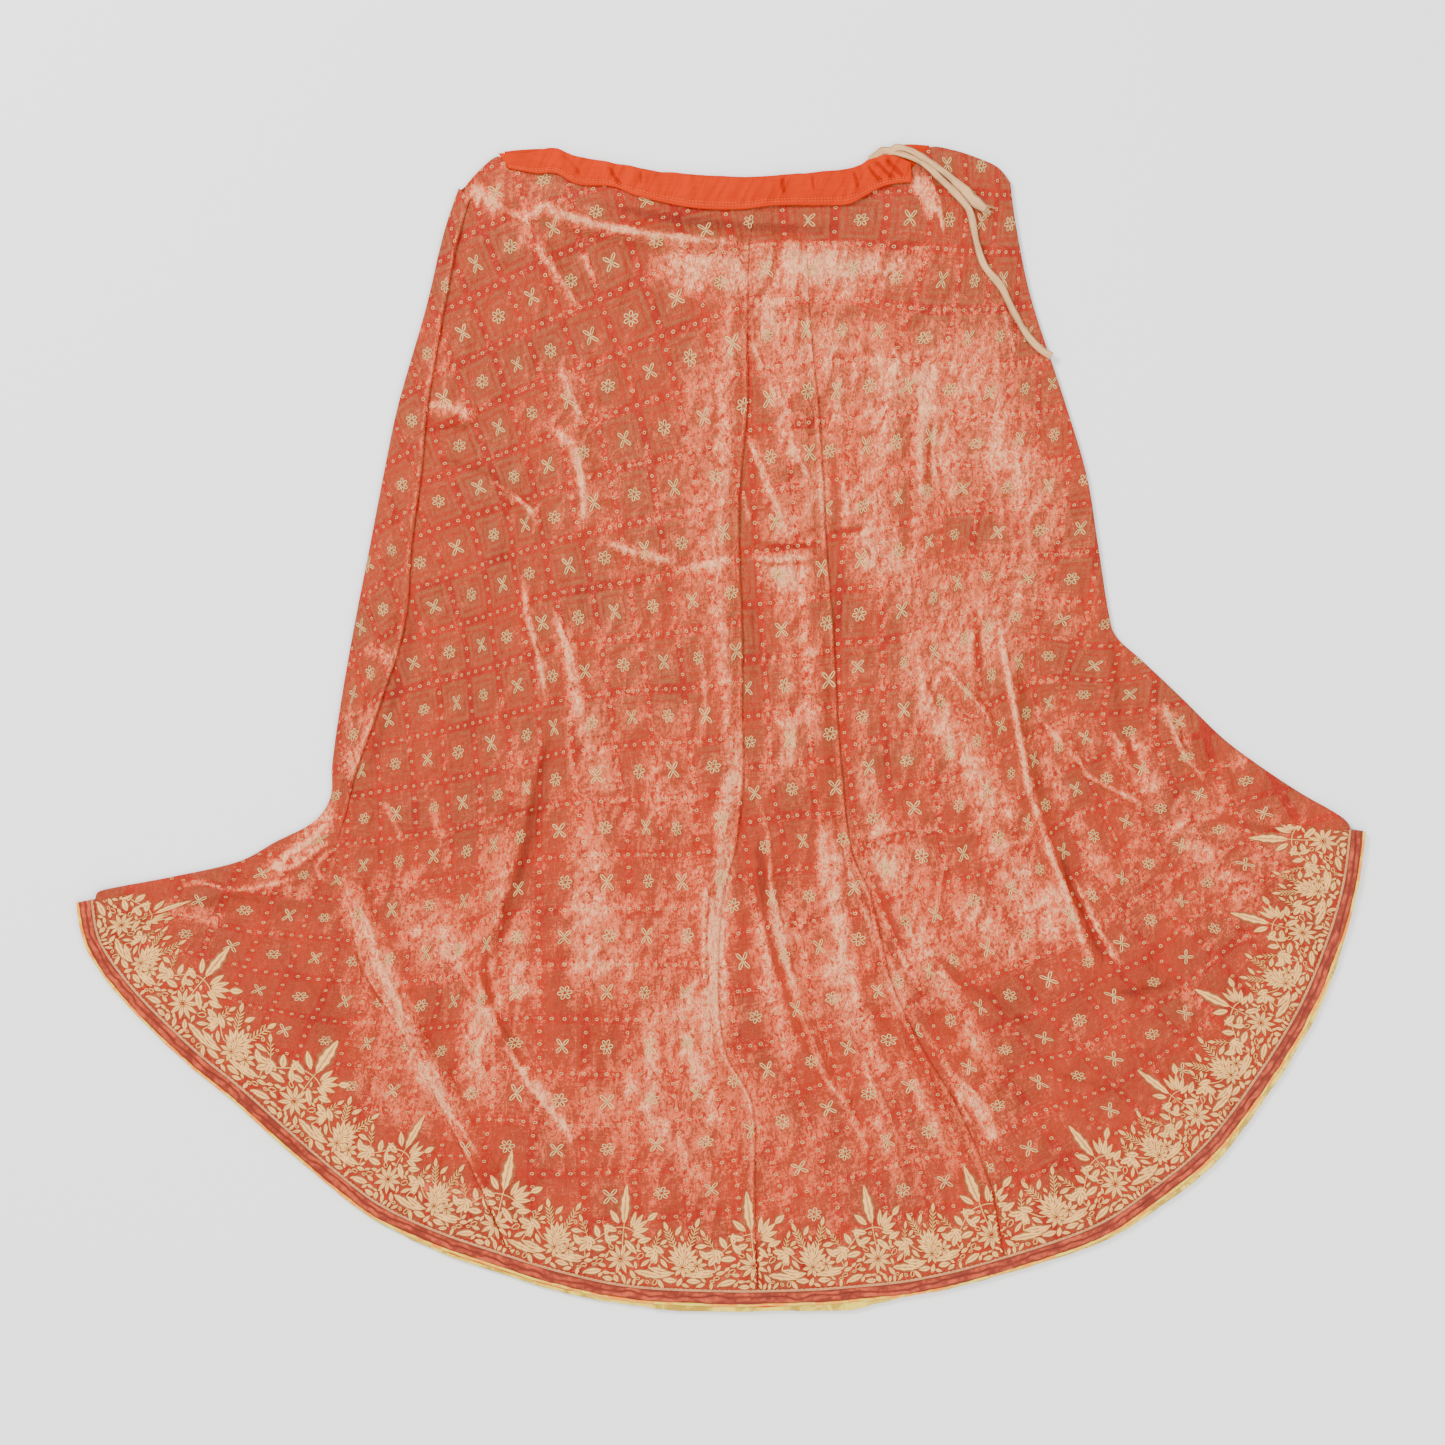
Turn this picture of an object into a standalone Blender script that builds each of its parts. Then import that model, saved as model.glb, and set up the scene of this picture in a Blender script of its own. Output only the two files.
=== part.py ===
"""A lehenga skirt of red tissue silk, laid flat with its front up and its waistband at +Y.

Each piece of cloth is a wall between two height fields over the same plan. Plans come from short tables
of stations down the skirt, in drawing units: x to the right, y down. The skirt's length from waist to
hem is DRAWN_LENGTH of them. Heights and thicknesses are in millimetres until the mesh is made.
"""

from collections import namedtuple

import bmesh
import bpy
import numpy as np

# Driving sizes
SKIRT_LENGTH = 1.016  # metres from the waistband's top to the lowest point of the hem
DRAWN_LENGTH = 1133.0  # the same length in drawing units
DRAWN_CENTRE = (720.5, 727.0)  # the plan's centre, which is the model's origin
UNIT = SKIRT_LENGTH / DRAWN_LENGTH
MM = 0.001

# Layers, in millimetres above the surface that the skirt lies on
BACK_WALL = 1.4
CLOTH_WALL = 1.2
LAYER_GAP = 0.3
FRONT_REST = BACK_WALL + LAYER_GAP  # underside of the front where it lies on the back
LINING_RISE = CLOTH_WALL + LAYER_GAP  # the front lies this much higher over the lining's hem
PIPING_THICK = 2.2
BAND_THICK = 2.0
BAND_BACK_THICK = 1.6
LIP_RISE = 2.3  # a pleat's upper layer at its edge, above the front's rest
PUFF = 2.0  # how far the cloth stands off between its folds

# Widths, in drawing units
PIPING_WIDTH = 10.0
BACK_INSET = 2.5
SEAM = 0.4  # a seam's gap between two pieces side by side
TURN = 1.0  # the same where a fold turns from over to under, and its two edges bend
LINING_IN = 20.0
ROLL_WIDTH = 42.0  # how far a pleat's upper layer takes to come down again
ROLL_AT = 17.0  # the roll's crest, from the pleat's edge
ROLL_HALF = 13.0
ROLL_RISE = 4.6
SETTLE = 16.0  # cloth that another piece covers lies flat over this width

# How many quads each plan is divided into
GRID = {
    "side_piece_left": (10, 36),
    "front_left_gore": (16, 38),
    "front_centre_gore": (8, 38),
    "front_right_gore": (16, 40),
}

Station = namedtuple(
    "Station", "left_x left_y right_x right_y left_tuck right_tuck left_lift right_lift"
)
# A tuck is how far an edge runs on past its line, under or over its neighbour; minus is a seam's gap.
# A lift is 1 where the edge lies over its neighbour and 0 where it lies under or beside it.

SIDE_STATIONS = [
    Station(459, 189, 470, 199, 0, 0, 0, 1),
    Station(447, 224, 460, 233, 0, 0, 0, 1),
    Station(439, 254, 452, 269, 0, 0, 0, 1),
    Station(426, 310, 444, 312, 0, 0, 0, 1),
    Station(399, 404, 428, 406, 0, 0, 0, 1),
    Station(385, 470, 422, 470, 0, 0, 0, 1),
    Station(370, 548, 412, 545, 0, 0, 0, 1),
    Station(354, 630, 405, 625, 0, 0, 0, 1),
    Station(341, 705, 380, 706, 0, 0, 0, 1),
    Station(333, 762, 358, 766, 0, 0, 0, 1),
    Station(331, 797, 347, 810, 0, 0, 0, 0.5),
    Station(314, 822, 338, 848, 0, 0, 0, 0),
    Station(276, 842, 350, 905, 0, 0, 0, 0),
    Station(238, 862, 365, 972, 0, 8, 0, 0),
    Station(172, 877, 400, 1028, 0, 9, 0, 0),
    Station(124, 886, 445, 1112, 0, 9, 0, 0),
    Station(98, 892, 485, 1190, 0, 7, 0, 0),
    Station(92, 900, 503, 1226, 0, -SEAM, 0, 0),
    Station(87, 905, 516, 1252, 0, -SEAM, 0, 0),
]
LEFT_STATIONS = [
    Station(467, 187, 757, 201, -TURN, 0, 0, 0),
    Station(460, 233, 749, 250, 4, 0, 0, 0.3),
    Station(444, 312, 747, 330, 5, 0, 0, 1),
    Station(428, 406, 747, 406, 6, 0, 0, 1),
    Station(422, 470, 740, 485, 7, 0, 0, 1),
    Station(412, 545, 739, 545, 9, 0, 0, 1),
    Station(405, 625, 742, 630, 9, 0, 0, 1),
    Station(380, 706, 742, 715, 7, 0, 0, 1),
    Station(358, 766, 743, 775, -TURN, 0, 0, 1),
    Station(347, 810, 740, 812, -TURN, 0, 0, 1),
    Station(338, 848, 735, 850, -TURN, 0, 0, 1),
    Station(350, 905, 722, 900, -TURN, 0, 1, 1),
    Station(365, 972, 718, 980, 0, 0, 1, 1),
    Station(400, 1028, 725, 1050, 0, 0, 1, 1),
    Station(445, 1112, 752, 1105, 0, 0, 1, 1),
    Station(485, 1190, 754, 1190, 0, 0, 1, 1),
    Station(503, 1226, 755, 1250, 0, 0, 1, 1),
    Station(516, 1252, 757, 1292, 0, 0, 0, 0),
]
CENTRE_STATIONS = [
    Station(757, 201, 805, 199, -SEAM, -SEAM, 0, 0),
    Station(749, 250, 807, 255, -SEAM, 0, 0, 0),
    Station(747, 330, 810, 325, -SEAM, 0, 0, 1),
    Station(747, 406, 818, 406, 9, 0, 0, 1),
    Station(740, 485, 823, 485, 9, 0, 0, 1),
    Station(739, 545, 826, 545, 9, 0, 0, 1),
    Station(742, 630, 833, 630, 9, 0, 0, 1),
    Station(742, 715, 837, 715, 9, 0, 0, 1),
    Station(743, 775, 842, 775, 9, 0, 0, 1),
    Station(735, 850, 851, 850, 9, 0, 0, 1),
    Station(722, 900, 871, 898, 9, 0, 0, 1),
    Station(718, 980, 892, 984, 9, 0, 0, 1),
    Station(725, 1050, 922, 1048, 9, 0, 0, 1),
    Station(752, 1105, 957, 1107, 9, 0, 0, 1),
    Station(754, 1190, 988, 1180, 7, 0, 0, 1),
    Station(755, 1250, 998, 1228, -SEAM, 0, 0, 1),
    Station(757, 1292, 1004, 1261, -SEAM, 0, 0, 0),
]
RIGHT_STATIONS = [
    Station(805, 199, 1010, 183, -SEAM, 0, 0, 0),
    Station(807, 255, 1016, 228, -SEAM, 0, 0, 0),
    Station(810, 325, 1031, 300, -SEAM, 0, 0, 0),
    Station(818, 406, 1063, 398, 8, 0, 0, 0),
    Station(823, 485, 1086, 475, 9, 0, 0, 0),
    Station(826, 545, 1098, 548, 9, 0, 0, 0),
    Station(833, 630, 1108, 612, 9, 0, 0, 0),
    Station(837, 715, 1116, 637, 9, 0, 0, 0),
    Station(842, 775, 1142, 661, 9, 0, 0, 0),
    Station(851, 850, 1180, 697, 9, 0, 0, 0),
    Station(871, 898, 1222, 738, 9, 0, 0, 0),
    Station(892, 984, 1262, 768, 9, 0, 0, 0),
    Station(922, 1048, 1300, 793, 9, 0, 0, 0),
    Station(957, 1107, 1328, 809, 9, 0, 0, 0),
    Station(988, 1180, 1342, 818, 7, 0, 0, 0),
    Station(998, 1228, 1348, 825, -SEAM, 0, 0, 0),
    Station(1004, 1261, 1350, 834, -SEAM, 0, 0, 0),
]
GORES = {
    "side_piece_left": SIDE_STATIONS,
    "front_left_gore": LEFT_STATIONS,
    "front_centre_gore": CENTRE_STATIONS,
    "front_right_gore": RIGHT_STATIONS,
}

# Upper edges of the gores that reach the waist, and the hem line, the piping's outer edge
TOP_EDGES = {
    "front_left_gore": [
        (467, 187), (480, 172), (499, 157), (512, 167), (530, 168), (557, 167), (590, 180),
        (628, 183), (660, 194), (700, 200), (757, 201),
    ],
    "front_right_gore": [
        (805, 199), (840, 199), (862, 192), (886, 182), (904, 177), (915, 166), (930, 148),
        (955, 151), (979, 159), (998, 168), (1010, 183),
    ],
}
HEM_LINE = [
    (80, 902), (90, 948), (128, 1001), (187, 1059), (232, 1096), (280, 1139), (330, 1182), (374, 1215),
    (429, 1241), (486, 1261), (557, 1283), (629, 1298), (720, 1303), (800, 1302), (860, 1298),
    (919, 1291), (990, 1274), (1097, 1238), (1162, 1196), (1214, 1152), (1262, 1090),
    (1308, 1016), (1338, 945), (1355, 885), (1362, 831),
]

# The lining's hem under the piping: how far its orange cloth and its satin edging reach past the hem line
Peek = namedtuple("Peek", "share orange edging")
PEEKS = [
    Peek(0.00, -3.0, 0.0),
    Peek(0.07, -1.0, 3.0),
    Peek(0.14, -3.0, 0.5),
    Peek(0.26, -1.0, 3.0),
    Peek(0.31, 4.0, 6.5),
    Peek(0.38, 4.0, 7.0),
    Peek(0.42, 0.0, 6.0),
    Peek(0.45, 0.0, 9.0),
    Peek(0.50, 4.0, 7.0),
    Peek(0.55, 0.0, 10.5),
    Peek(0.58, -1.0, 3.0),
    Peek(0.68, -2.0, 4.0),
    Peek(0.77, 0.0, 8.0),
    Peek(0.90, 0.0, 6.0),
    Peek(1.00, -3.0, 0.0),
]

# Waistband: upper and lower edge of its front, and the upper edge of its back, which shows at both ends
BAND_TOP = [
    (504, 155), (530, 153), (554, 148), (575, 157), (612, 163), (640, 169), (688, 175), (735, 177),
    (782, 175), (826, 172), (854, 168), (870, 161), (886, 156), (900, 158), (911, 163),
]
BAND_BOTTOM = [
    (515, 170), (536, 174), (556, 174), (578, 185), (612, 187), (639, 197), (690, 208), (737, 210),
    (775, 206), (817, 206), (847, 205), (864, 197), (880, 188), (896, 184), (911, 183),
]
BACK_BAND_TOP = [
    (505, 152), (524, 150), (552, 150), (575, 159), (612, 165), (640, 171), (688, 177), (735, 179),
    (782, 177), (826, 174), (854, 169), (868, 160), (884, 151), (905, 145), (929, 146),
]
BAND_DEPTH = 29.0
BAND_GATHERS = [560, 583, 608, 632, 655, 690, 782, 812, 840, 856, 870, 884, 898]  # x of each crease
GATHER_HALF = 7.0
GATHER_RISE = 1.3

Fold = namedtuple("Fold", "rise half_width points")
# A rise is in millimetres, minus for a valley; the half width and the points are in drawing units.
FOLDS = [
    Fold(6.2, 17, [(482, 200), (520, 214), (560, 217), (630, 234), (720, 243), (820, 248), (890, 252)]),
    Fold(4.1, 14, [(532, 236), (558, 275), (581, 310)]),
    Fold(4.3, 16, [(444, 416), (482, 414)]),
    Fold(4.1, 14, [(489, 481), (512, 494), (539, 529)]),
    Fold(3.8, 14, [(558, 355), (579, 440), (585, 533)]),
    Fold(3.2, 14, [(600, 540), (640, 556), (690, 563)]),
    Fold(4.1, 14, [(524, 565), (530, 640), (548, 707)]),
    Fold(3.8, 14, [(552, 602), (571, 657), (584, 700)]),
    Fold(6.8, 16, [(550, 713), (534, 778), (517, 858), (490, 927), (478, 975), (494, 1024), (532, 1090)]),
    Fold(4.6, 14, [(600, 900), (597, 980), (612, 1060), (640, 1120)]),
    Fold(3.5, 12, [(175, 896), (240, 893), (305, 882)]),
    Fold(4.1, 16, [(300, 950), (340, 1010), (390, 1090)]),
    Fold(4.9, 14, [(768, 826), (772, 885), (796, 990), (827, 1080), (862, 1150)]),
    Fold(3.5, 13, [(768, 440), (785, 500), (790, 620), (795, 700)]),
    Fold(4.6, 14, [(925, 405), (921, 468), (924, 510)]),
    Fold(3.5, 14, [(882, 300), (892, 380), (890, 470)]),
    Fold(6.8, 16, [(998, 604), (1009, 682), (1023, 757), (1040, 826), (1063, 887), (1098, 980)]),
    Fold(4.9, 14, [(942, 660), (968, 700), (994, 740)]),
    Fold(5.7, 14, [(1090, 500), (1098, 580), (1104, 650), (1112, 720)]),
    Fold(4.9, 15, [(1150, 690), (1176, 745), (1212, 789)]),
    Fold(4.1, 15, [(1040, 705), (1080, 758), (1137, 803), (1170, 826)]),
    Fold(5.1, 15, [(905, 930), (935, 1000), (985, 1060), (1030, 1120)]),
    Fold(4.1, 15, [(1120, 950), (1170, 1000), (1205, 1060)]),
    Fold(3.8, 15, [(1225, 860), (1262, 900), (1285, 950)]),
    Fold(4.3, 11, [(912, 172), (934, 196), (944, 240)]),
]

# Drawstring tape: width and thickness in millimetres, and each strand's route
TAPE_THICK = 1.3
TAPE_CLEAR = 1.2  # above the cloth that it lies on
TAPE_STEP = 2.2  # stations along a route lie this many tape widths apart
Strand = namedtuple("Strand", "width rise points")
STRANDS = {
    "drawstring_short": Strand(
        8.0,
        [1.2, 1.6, 1.8, 0.4, 1.8, 2.2, 0.4],
        [(898, 147), (914, 149), (928, 157), (944, 170), (960, 184), (973, 197), (987, 208)],
    ),
    "drawstring_long": Strand(
        7.4,
        [1.0, 2.6, 2.4, 1.8, 1.2, 0.0, 0.0, 0.0, 0.0, 0.0, 0.0, 0.0, 0.0, 0.2],
        [
            (885, 151), (903, 158), (918, 166), (932, 179), (946, 191), (961, 203), (971, 216), (976, 243),
            (984, 266), (1001, 288), (1012, 310), (1025, 333), (1039, 349), (1051, 357),
        ],
    ),
}

# Colour, roughness and metallic value of each material
MATERIALS = {
    "tissue_silk": ((0.62, 0.10, 0.05), 0.45, 0.1),
    "band_cotton": ((0.95, 0.14, 0.02), 0.8, 0.0),
    "piping_cloth": ((0.50, 0.06, 0.05), 0.6, 0.0),
    "lining_cloth": ((0.90, 0.22, 0.05), 0.7, 0.0),
    "edging_satin": ((0.75, 0.62, 0.16), 0.4, 0.0),
    "tape_cotton": ((0.76, 0.56, 0.42), 0.9, 0.0),
}


def smoothstep(x):
    """0 below 0, 1 above 1 and an even S between."""
    x = np.clip(x, 0.0, 1.0)
    return x * x * (3.0 - 2.0 * x)


def through(points, at):
    """A smooth curve through the points, read at places counted in points (0 is the first)."""
    p = np.asarray(points, float)
    p = p.reshape(len(p), -1)
    first = np.clip(np.floor(at).astype(int), 0, len(p) - 2)
    s = (np.asarray(at, float) - first)[:, None]
    before = p[np.maximum(first - 1, 0)]
    a, b = p[first], p[first + 1]
    after = p[np.minimum(first + 2, len(p) - 1)]
    return a + 0.5 * s * (
        b - before + s * (2 * before - 5 * a + 4 * b - after + s * (3 * (a - b) + after - before))
    )


def even_curve(points, count):
    """The smooth curve through the points, as count points evenly spaced along it."""
    fine = through(points, np.linspace(0, len(points) - 1, 24 * len(points)))
    along = np.concatenate([[0], np.cumsum(np.linalg.norm(np.diff(fine, axis=0), axis=1))])
    at = np.linspace(0, along[-1], count)
    return np.stack([np.interp(at, along, fine[:, k]) for k in range(2)], axis=1)


def shifted(line, distance):
    """The line moved sideways by distance: plus is to the right of its direction, as drawn with y down."""
    along = np.gradient(line, axis=0)
    along /= np.linalg.norm(along, axis=1)[:, None]
    return line + np.asarray(distance).reshape(-1, 1) * np.stack([-along[:, 1], along[:, 0]], axis=1)


def nearest_on(xy, line):
    """For each point of xy, its distance from the line and the share of the line's length where that is."""
    line = np.asarray(line, float)
    flat = xy.reshape(-1, 2)
    lengths = np.linalg.norm(np.diff(line, axis=0), axis=1)
    best = np.full(len(flat), np.inf)
    share = np.zeros(len(flat))
    start = 0.0
    for a, b, length in zip(line[:-1], line[1:], lengths):
        s = np.clip((flat - a) @ (b - a) / length**2, 0, 1)
        away = np.linalg.norm(flat - a - s[:, None] * (b - a), axis=1)
        closer = away < best
        best[closer] = away[closer]
        share[closer] = (start + s[closer] * length) / lengths.sum()
        start += length
    return best.reshape(xy.shape[:-1]), share.reshape(xy.shape[:-1])


def bump(x):
    """1 at 0, falling smoothly to 0 at 1 and beyond."""
    return (1.0 - np.clip(np.abs(x), 0, 1) ** 2) ** 2


HEM = even_curve(HEM_LINE, 1500)
HEM_COARSE = even_curve(HEM_LINE, 76)  # the stations of the hem's strips
BACK_BAND = even_curve(BACK_BAND_TOP, 24)


def relief(xy):
    """How far the cloth stands off, in millimetres: the slow puffing between folds, and the folds."""
    slow = 0.5 + 0.25 * np.sin(xy[..., 0] / 47.0 + 1.3) + 0.25 * np.cos(xy[..., 1] / 61.0 + xy[..., 0] / 150.0)
    total = PUFF * slow
    for fold in FOLDS:
        route = even_curve(fold.points, 8 * len(fold.points))
        away, share = nearest_on(xy, route)
        total = total + fold.rise * bump(away / fold.half_width) * smoothstep(4 * share) * smoothstep(4 * (1 - share))
    return np.maximum(total, 0.0)


def rest_height(xy):
    """The underside of the front where it lies flat: on the back, or on the lining's hem near the hem line."""
    away, _ = nearest_on(xy, HEM_COARSE)
    return FRONT_REST + LINING_RISE * (1.0 - smoothstep((away - LINING_IN - 12.0) / 30.0))


def hem_between(start, end, count):
    """The gores' lower edge, just inside the piping, between the places nearest two points."""
    inside = shifted(HEM, -(PIPING_WIDTH + TURN))
    ends = [int(np.argmin(np.linalg.norm(inside - p, axis=1))) for p in (start, end)]
    at = np.linspace(ends[0], ends[1], count)
    return np.stack([np.interp(at, np.arange(len(inside)), inside[:, k]) for k in range(2)], axis=1)


def gore_plan(name, columns, rows):
    """The plan of a gore as a grid of points, with the station values of each row.

    Each row runs from the left edge to the right edge. Rows near the waist and the hem also bend like
    the upper edge and the hem.
    """
    table = np.array(GORES[name], float)
    last = len(table) - 1
    at = np.linspace(0, last, rows + 1)
    edges = [np.interp(at, np.arange(last + 1), table[:, k]) for k in range(4, table.shape[1])]
    values = np.concatenate([through(table[:, :4], at), np.stack(edges, axis=1)], axis=1)
    left, right = values[:, 0:2], values[:, 2:4]
    across = (right - left) / np.linalg.norm(right - left, axis=1)[:, None]
    left = left - values[:, 4:5] * across
    right = right + values[:, 5:6] * across
    u = np.linspace(0, 1, columns + 1)
    grid = left[:, None] * (1 - u)[None, :, None] + right[:, None] * u[None, :, None]
    if name in TOP_EDGES:
        top = even_curve(TOP_EDGES[name], columns + 1)
        bend = top - (top[0] * (1 - u)[:, None] + top[-1] * u[:, None])
        grid += bend[None] * (1 - smoothstep(at / 3.0))[:, None, None]
    low = hem_between(left[-1], right[-1], columns + 1)
    straight = left[-1] * (1 - u)[:, None] + right[-1] * u[:, None]
    grid += (low - straight)[None] * (smoothstep((at - last + 5.0) / 5.0) ** 1.5)[:, None, None]
    return grid, values, u


def gore_heights(name, grid, values, u):
    """The underside of a gore, in millimetres: resting, puffed, folded, and rolled up where it overlaps."""
    width = np.linalg.norm(grid[:, -1] - grid[:, 0], axis=1)[:, None]
    from_left, from_right = u[None] * width, (1 - u)[None] * width
    height = rest_height(grid)
    calm = np.ones_like(height)
    for away, tuck, lift in (
        (from_left, values[:, 4:5], values[:, 6:7]),
        (from_right, values[:, 5:6], values[:, 7:8]),
    ):
        calm *= smoothstep((away - np.maximum(tuck, 0)) / SETTLE)
        roll = LIP_RISE * (1 - smoothstep(away / np.minimum(ROLL_WIDTH, 1.2 * width)))
        crest = ROLL_RISE * bump((away - ROLL_AT) / ROLL_HALF) * (width > 3 * ROLL_AT)
        height = height + np.clip(lift, 0, 1) * (roll + crest)
    to_hem, _ = nearest_on(grid, HEM_COARSE)
    calm *= smoothstep((to_hem - PIPING_WIDTH - 4.0) / 40.0)
    if name in TOP_EDGES:
        to_band, _ = nearest_on(grid, TOP_EDGES[name])
        calm *= smoothstep((to_band - 12.0) / SETTLE)
    return height + calm * relief(grid)


def in_metres(xy, height):
    """Points of a plan with their heights, as model coordinates in metres."""
    x = (xy[..., 0] - DRAWN_CENTRE[0]) * UNIT
    y = (DRAWN_CENTRE[1] - xy[..., 1]) * UNIT
    return np.stack([x, y, np.broadcast_to(height, x.shape) * MM], axis=-1)


def material(slot):
    """The Principled material of a slot, made once."""
    if slot in bpy.data.materials:
        return bpy.data.materials[slot]
    colour, roughness, metallic = MATERIALS[slot]
    made = bpy.data.materials.new(slot)
    made.use_nodes = True
    shader = made.node_tree.nodes["Principled BSDF"]
    shader.inputs["Base Color"].default_value = (*colour, 1.0)
    shader.inputs["Roughness"].default_value = roughness
    shader.inputs["Metallic"].default_value = metallic
    made.diffuse_color = (*colour, 1.0)
    return made


def add_wall(name, lower, upper, slot):
    """One closed wall between two grids of points of the same size, as an object."""
    rows, columns = lower.shape[:2]
    count = rows * columns
    index = np.arange(count).reshape(rows, columns)
    under = [
        (int(index[r, c]), int(index[r + 1, c]), int(index[r + 1, c + 1]), int(index[r, c + 1]))
        for r in range(rows - 1)
        for c in range(columns - 1)
    ]
    over = [tuple(i + count for i in reversed(face)) for face in under]
    rim = [*index[0], *index[1:, -1], *index[-1, -2::-1], *index[-2:0:-1, 0]]
    rim = [int(i) for i in rim]
    sides = [(a, b, b + count, a + count) for a, b in zip(rim, rim[1:] + rim[:1])]
    mesh = bpy.data.meshes.new(name)
    points = np.concatenate([lower.reshape(-1, 3), upper.reshape(-1, 3)])
    mesh.from_pydata([tuple(map(float, p)) for p in points], [], under + over + sides)
    shape = bmesh.new()
    shape.from_mesh(mesh)
    bmesh.ops.triangulate(shape, faces=shape.faces)
    bmesh.ops.recalc_face_normals(shape, faces=shape.faces)
    shape.to_mesh(mesh)
    shape.free()
    mesh.materials.append(material(slot))
    mesh.shade_smooth()
    mesh.set_sharp_from_angle(angle=0.9)
    made = bpy.data.objects.new(name, mesh)
    bpy.context.scene.collection.objects.link(made)
    return made


def add_gore(name):
    """A length of the skirt's front."""
    columns, rows = GRID[name]
    grid, values, u = gore_plan(name, columns, rows)
    height = gore_heights(name, grid, values, u)
    add_wall(name, in_metres(grid, height), in_metres(grid, height + CLOTH_WALL), "tissue_silk")


def strip_between(name, inner, outer, low, high, slot, columns=1):
    """A flat strip between two curves of the same number of points."""
    u = np.linspace(0, 1, columns + 1)[None, :, None]
    grid = inner[:, None] * (1 - u) + outer[:, None] * u
    add_wall(name, in_metres(grid, low), in_metres(grid, high), slot)


def add_hem():
    """The corded piping of the front and back, and the lining's hem with its edging under the front's."""
    line = HEM_COARSE
    share = np.linspace(0, 1, len(line))
    rest = FRONT_REST + LINING_RISE
    u = np.linspace(0, 1, 5)
    swell = 1.0 - 0.45 * np.abs(2 * u - 1) ** 2
    grid = shifted(line, -PIPING_WIDTH)[:, None] * (1 - u)[None, :, None] + line[:, None] * u[None, :, None]
    top = np.broadcast_to(rest + PIPING_THICK * swell, grid.shape[:2])
    add_wall("hem_piping_front", in_metres(grid, rest), in_metres(grid, top), "piping_cloth")
    strip_between(
        "hem_piping_back",
        shifted(line, -(PIPING_WIDTH + BACK_INSET)),
        shifted(line, -BACK_INSET),
        0.0,
        BACK_WALL,
        "piping_cloth",
    )
    peeks = np.array(PEEKS, float)
    orange = np.interp(share, peeks[:, 0], peeks[:, 1])
    edging = np.interp(share, peeks[:, 0], peeks[:, 2])
    flat = (FRONT_REST, FRONT_REST + CLOTH_WALL)
    strip_between("lining_hem", shifted(line, -LINING_IN), shifted(line, orange), *flat, "lining_cloth", 2)
    strip_between("lining_edging", shifted(line, orange + SEAM), shifted(line, edging), *flat, "edging_satin")


def back_outline():
    """The back's outline: down the left side, along the hem inside its piping, and up the right side."""
    left = through([(s.left_x, s.left_y) for s in SIDE_STATIONS], np.linspace(0, 16, 33))
    right = through([(s.right_x, s.right_y) for s in RIGHT_STATIONS], np.linspace(14, 0, 29))
    sides = [shifted(left, -BACK_INSET), shifted(right, -BACK_INSET)]
    hem = shifted(HEM_COARSE, -(PIPING_WIDTH + BACK_INSET + SEAM))[1:-1]
    band = shifted(BACK_BAND, BAND_DEPTH + SEAM)[::-1]
    shoulders = [[(985, 169), (948, 156), (934, 162)], [(499, 178), (494, 166), (474, 181)]]
    return np.concatenate([sides[0], hem, sides[1], shoulders[0], band, shoulders[1]])


def add_back_panel():
    """The skirt's back, flat on the surface: its outline filled and given the wall's thickness."""
    outline = back_outline()
    shape = bmesh.new()
    low = [shape.verts.new(p) for p in in_metres(outline, 0.0)]
    face = shape.faces.new(low)
    raised = bmesh.ops.extrude_face_region(shape, geom=[face])
    for item in raised["geom"]:
        if isinstance(item, bmesh.types.BMVert):
            item.co.z = BACK_WALL * MM
    bmesh.ops.triangulate(shape, faces=shape.faces)
    bmesh.ops.recalc_face_normals(shape, faces=shape.faces)
    mesh = bpy.data.meshes.new("back_panel")
    shape.to_mesh(mesh)
    shape.free()
    mesh.materials.append(material("tissue_silk"))
    bpy.context.scene.collection.objects.link(bpy.data.objects.new("back_panel", mesh))


def add_waistband():
    """The casing: its gathered front, over the gores' upper edges, and its flat back."""
    columns, rows = 44, 3
    upper, lower = even_curve(BAND_TOP, columns + 1), even_curve(BAND_BOTTOM, columns + 1)
    v = np.linspace(0, 1, rows + 1)[:, None, None]
    grid = upper[None] * (1 - v) + lower[None] * v
    high, low = FRONT_REST + CLOTH_WALL + 2 * LAYER_GAP, BAND_BACK_THICK + 2 * LAYER_GAP
    rest = low + (high - low) * smoothstep(v[..., 0] * 1.6)
    gathers = sum(bump((grid[..., 0] - x) / GATHER_HALF) for x in BAND_GATHERS)
    ruffle = GATHER_RISE * np.minimum(gathers, 1.0) * smoothstep(1.4 * (1 - v[..., 0]))
    height = rest + ruffle
    add_wall("waistband_front", in_metres(grid, height), in_metres(grid, height + BAND_THICK), "band_cotton")
    lower_edge = shifted(BACK_BAND, BAND_DEPTH)
    strip_between("waistband_back", BACK_BAND, lower_edge, 0.0, BAND_BACK_THICK, "band_cotton")


def cloth_top(xy):
    """The upper side of the front under a point of the drawstring, in millimetres."""
    to_band, _ = nearest_on(xy, TOP_EDGES["front_right_gore"])
    calm = smoothstep((to_band - 12.0) / SETTLE)
    return FRONT_REST + CLOTH_WALL + calm * relief(xy)


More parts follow.
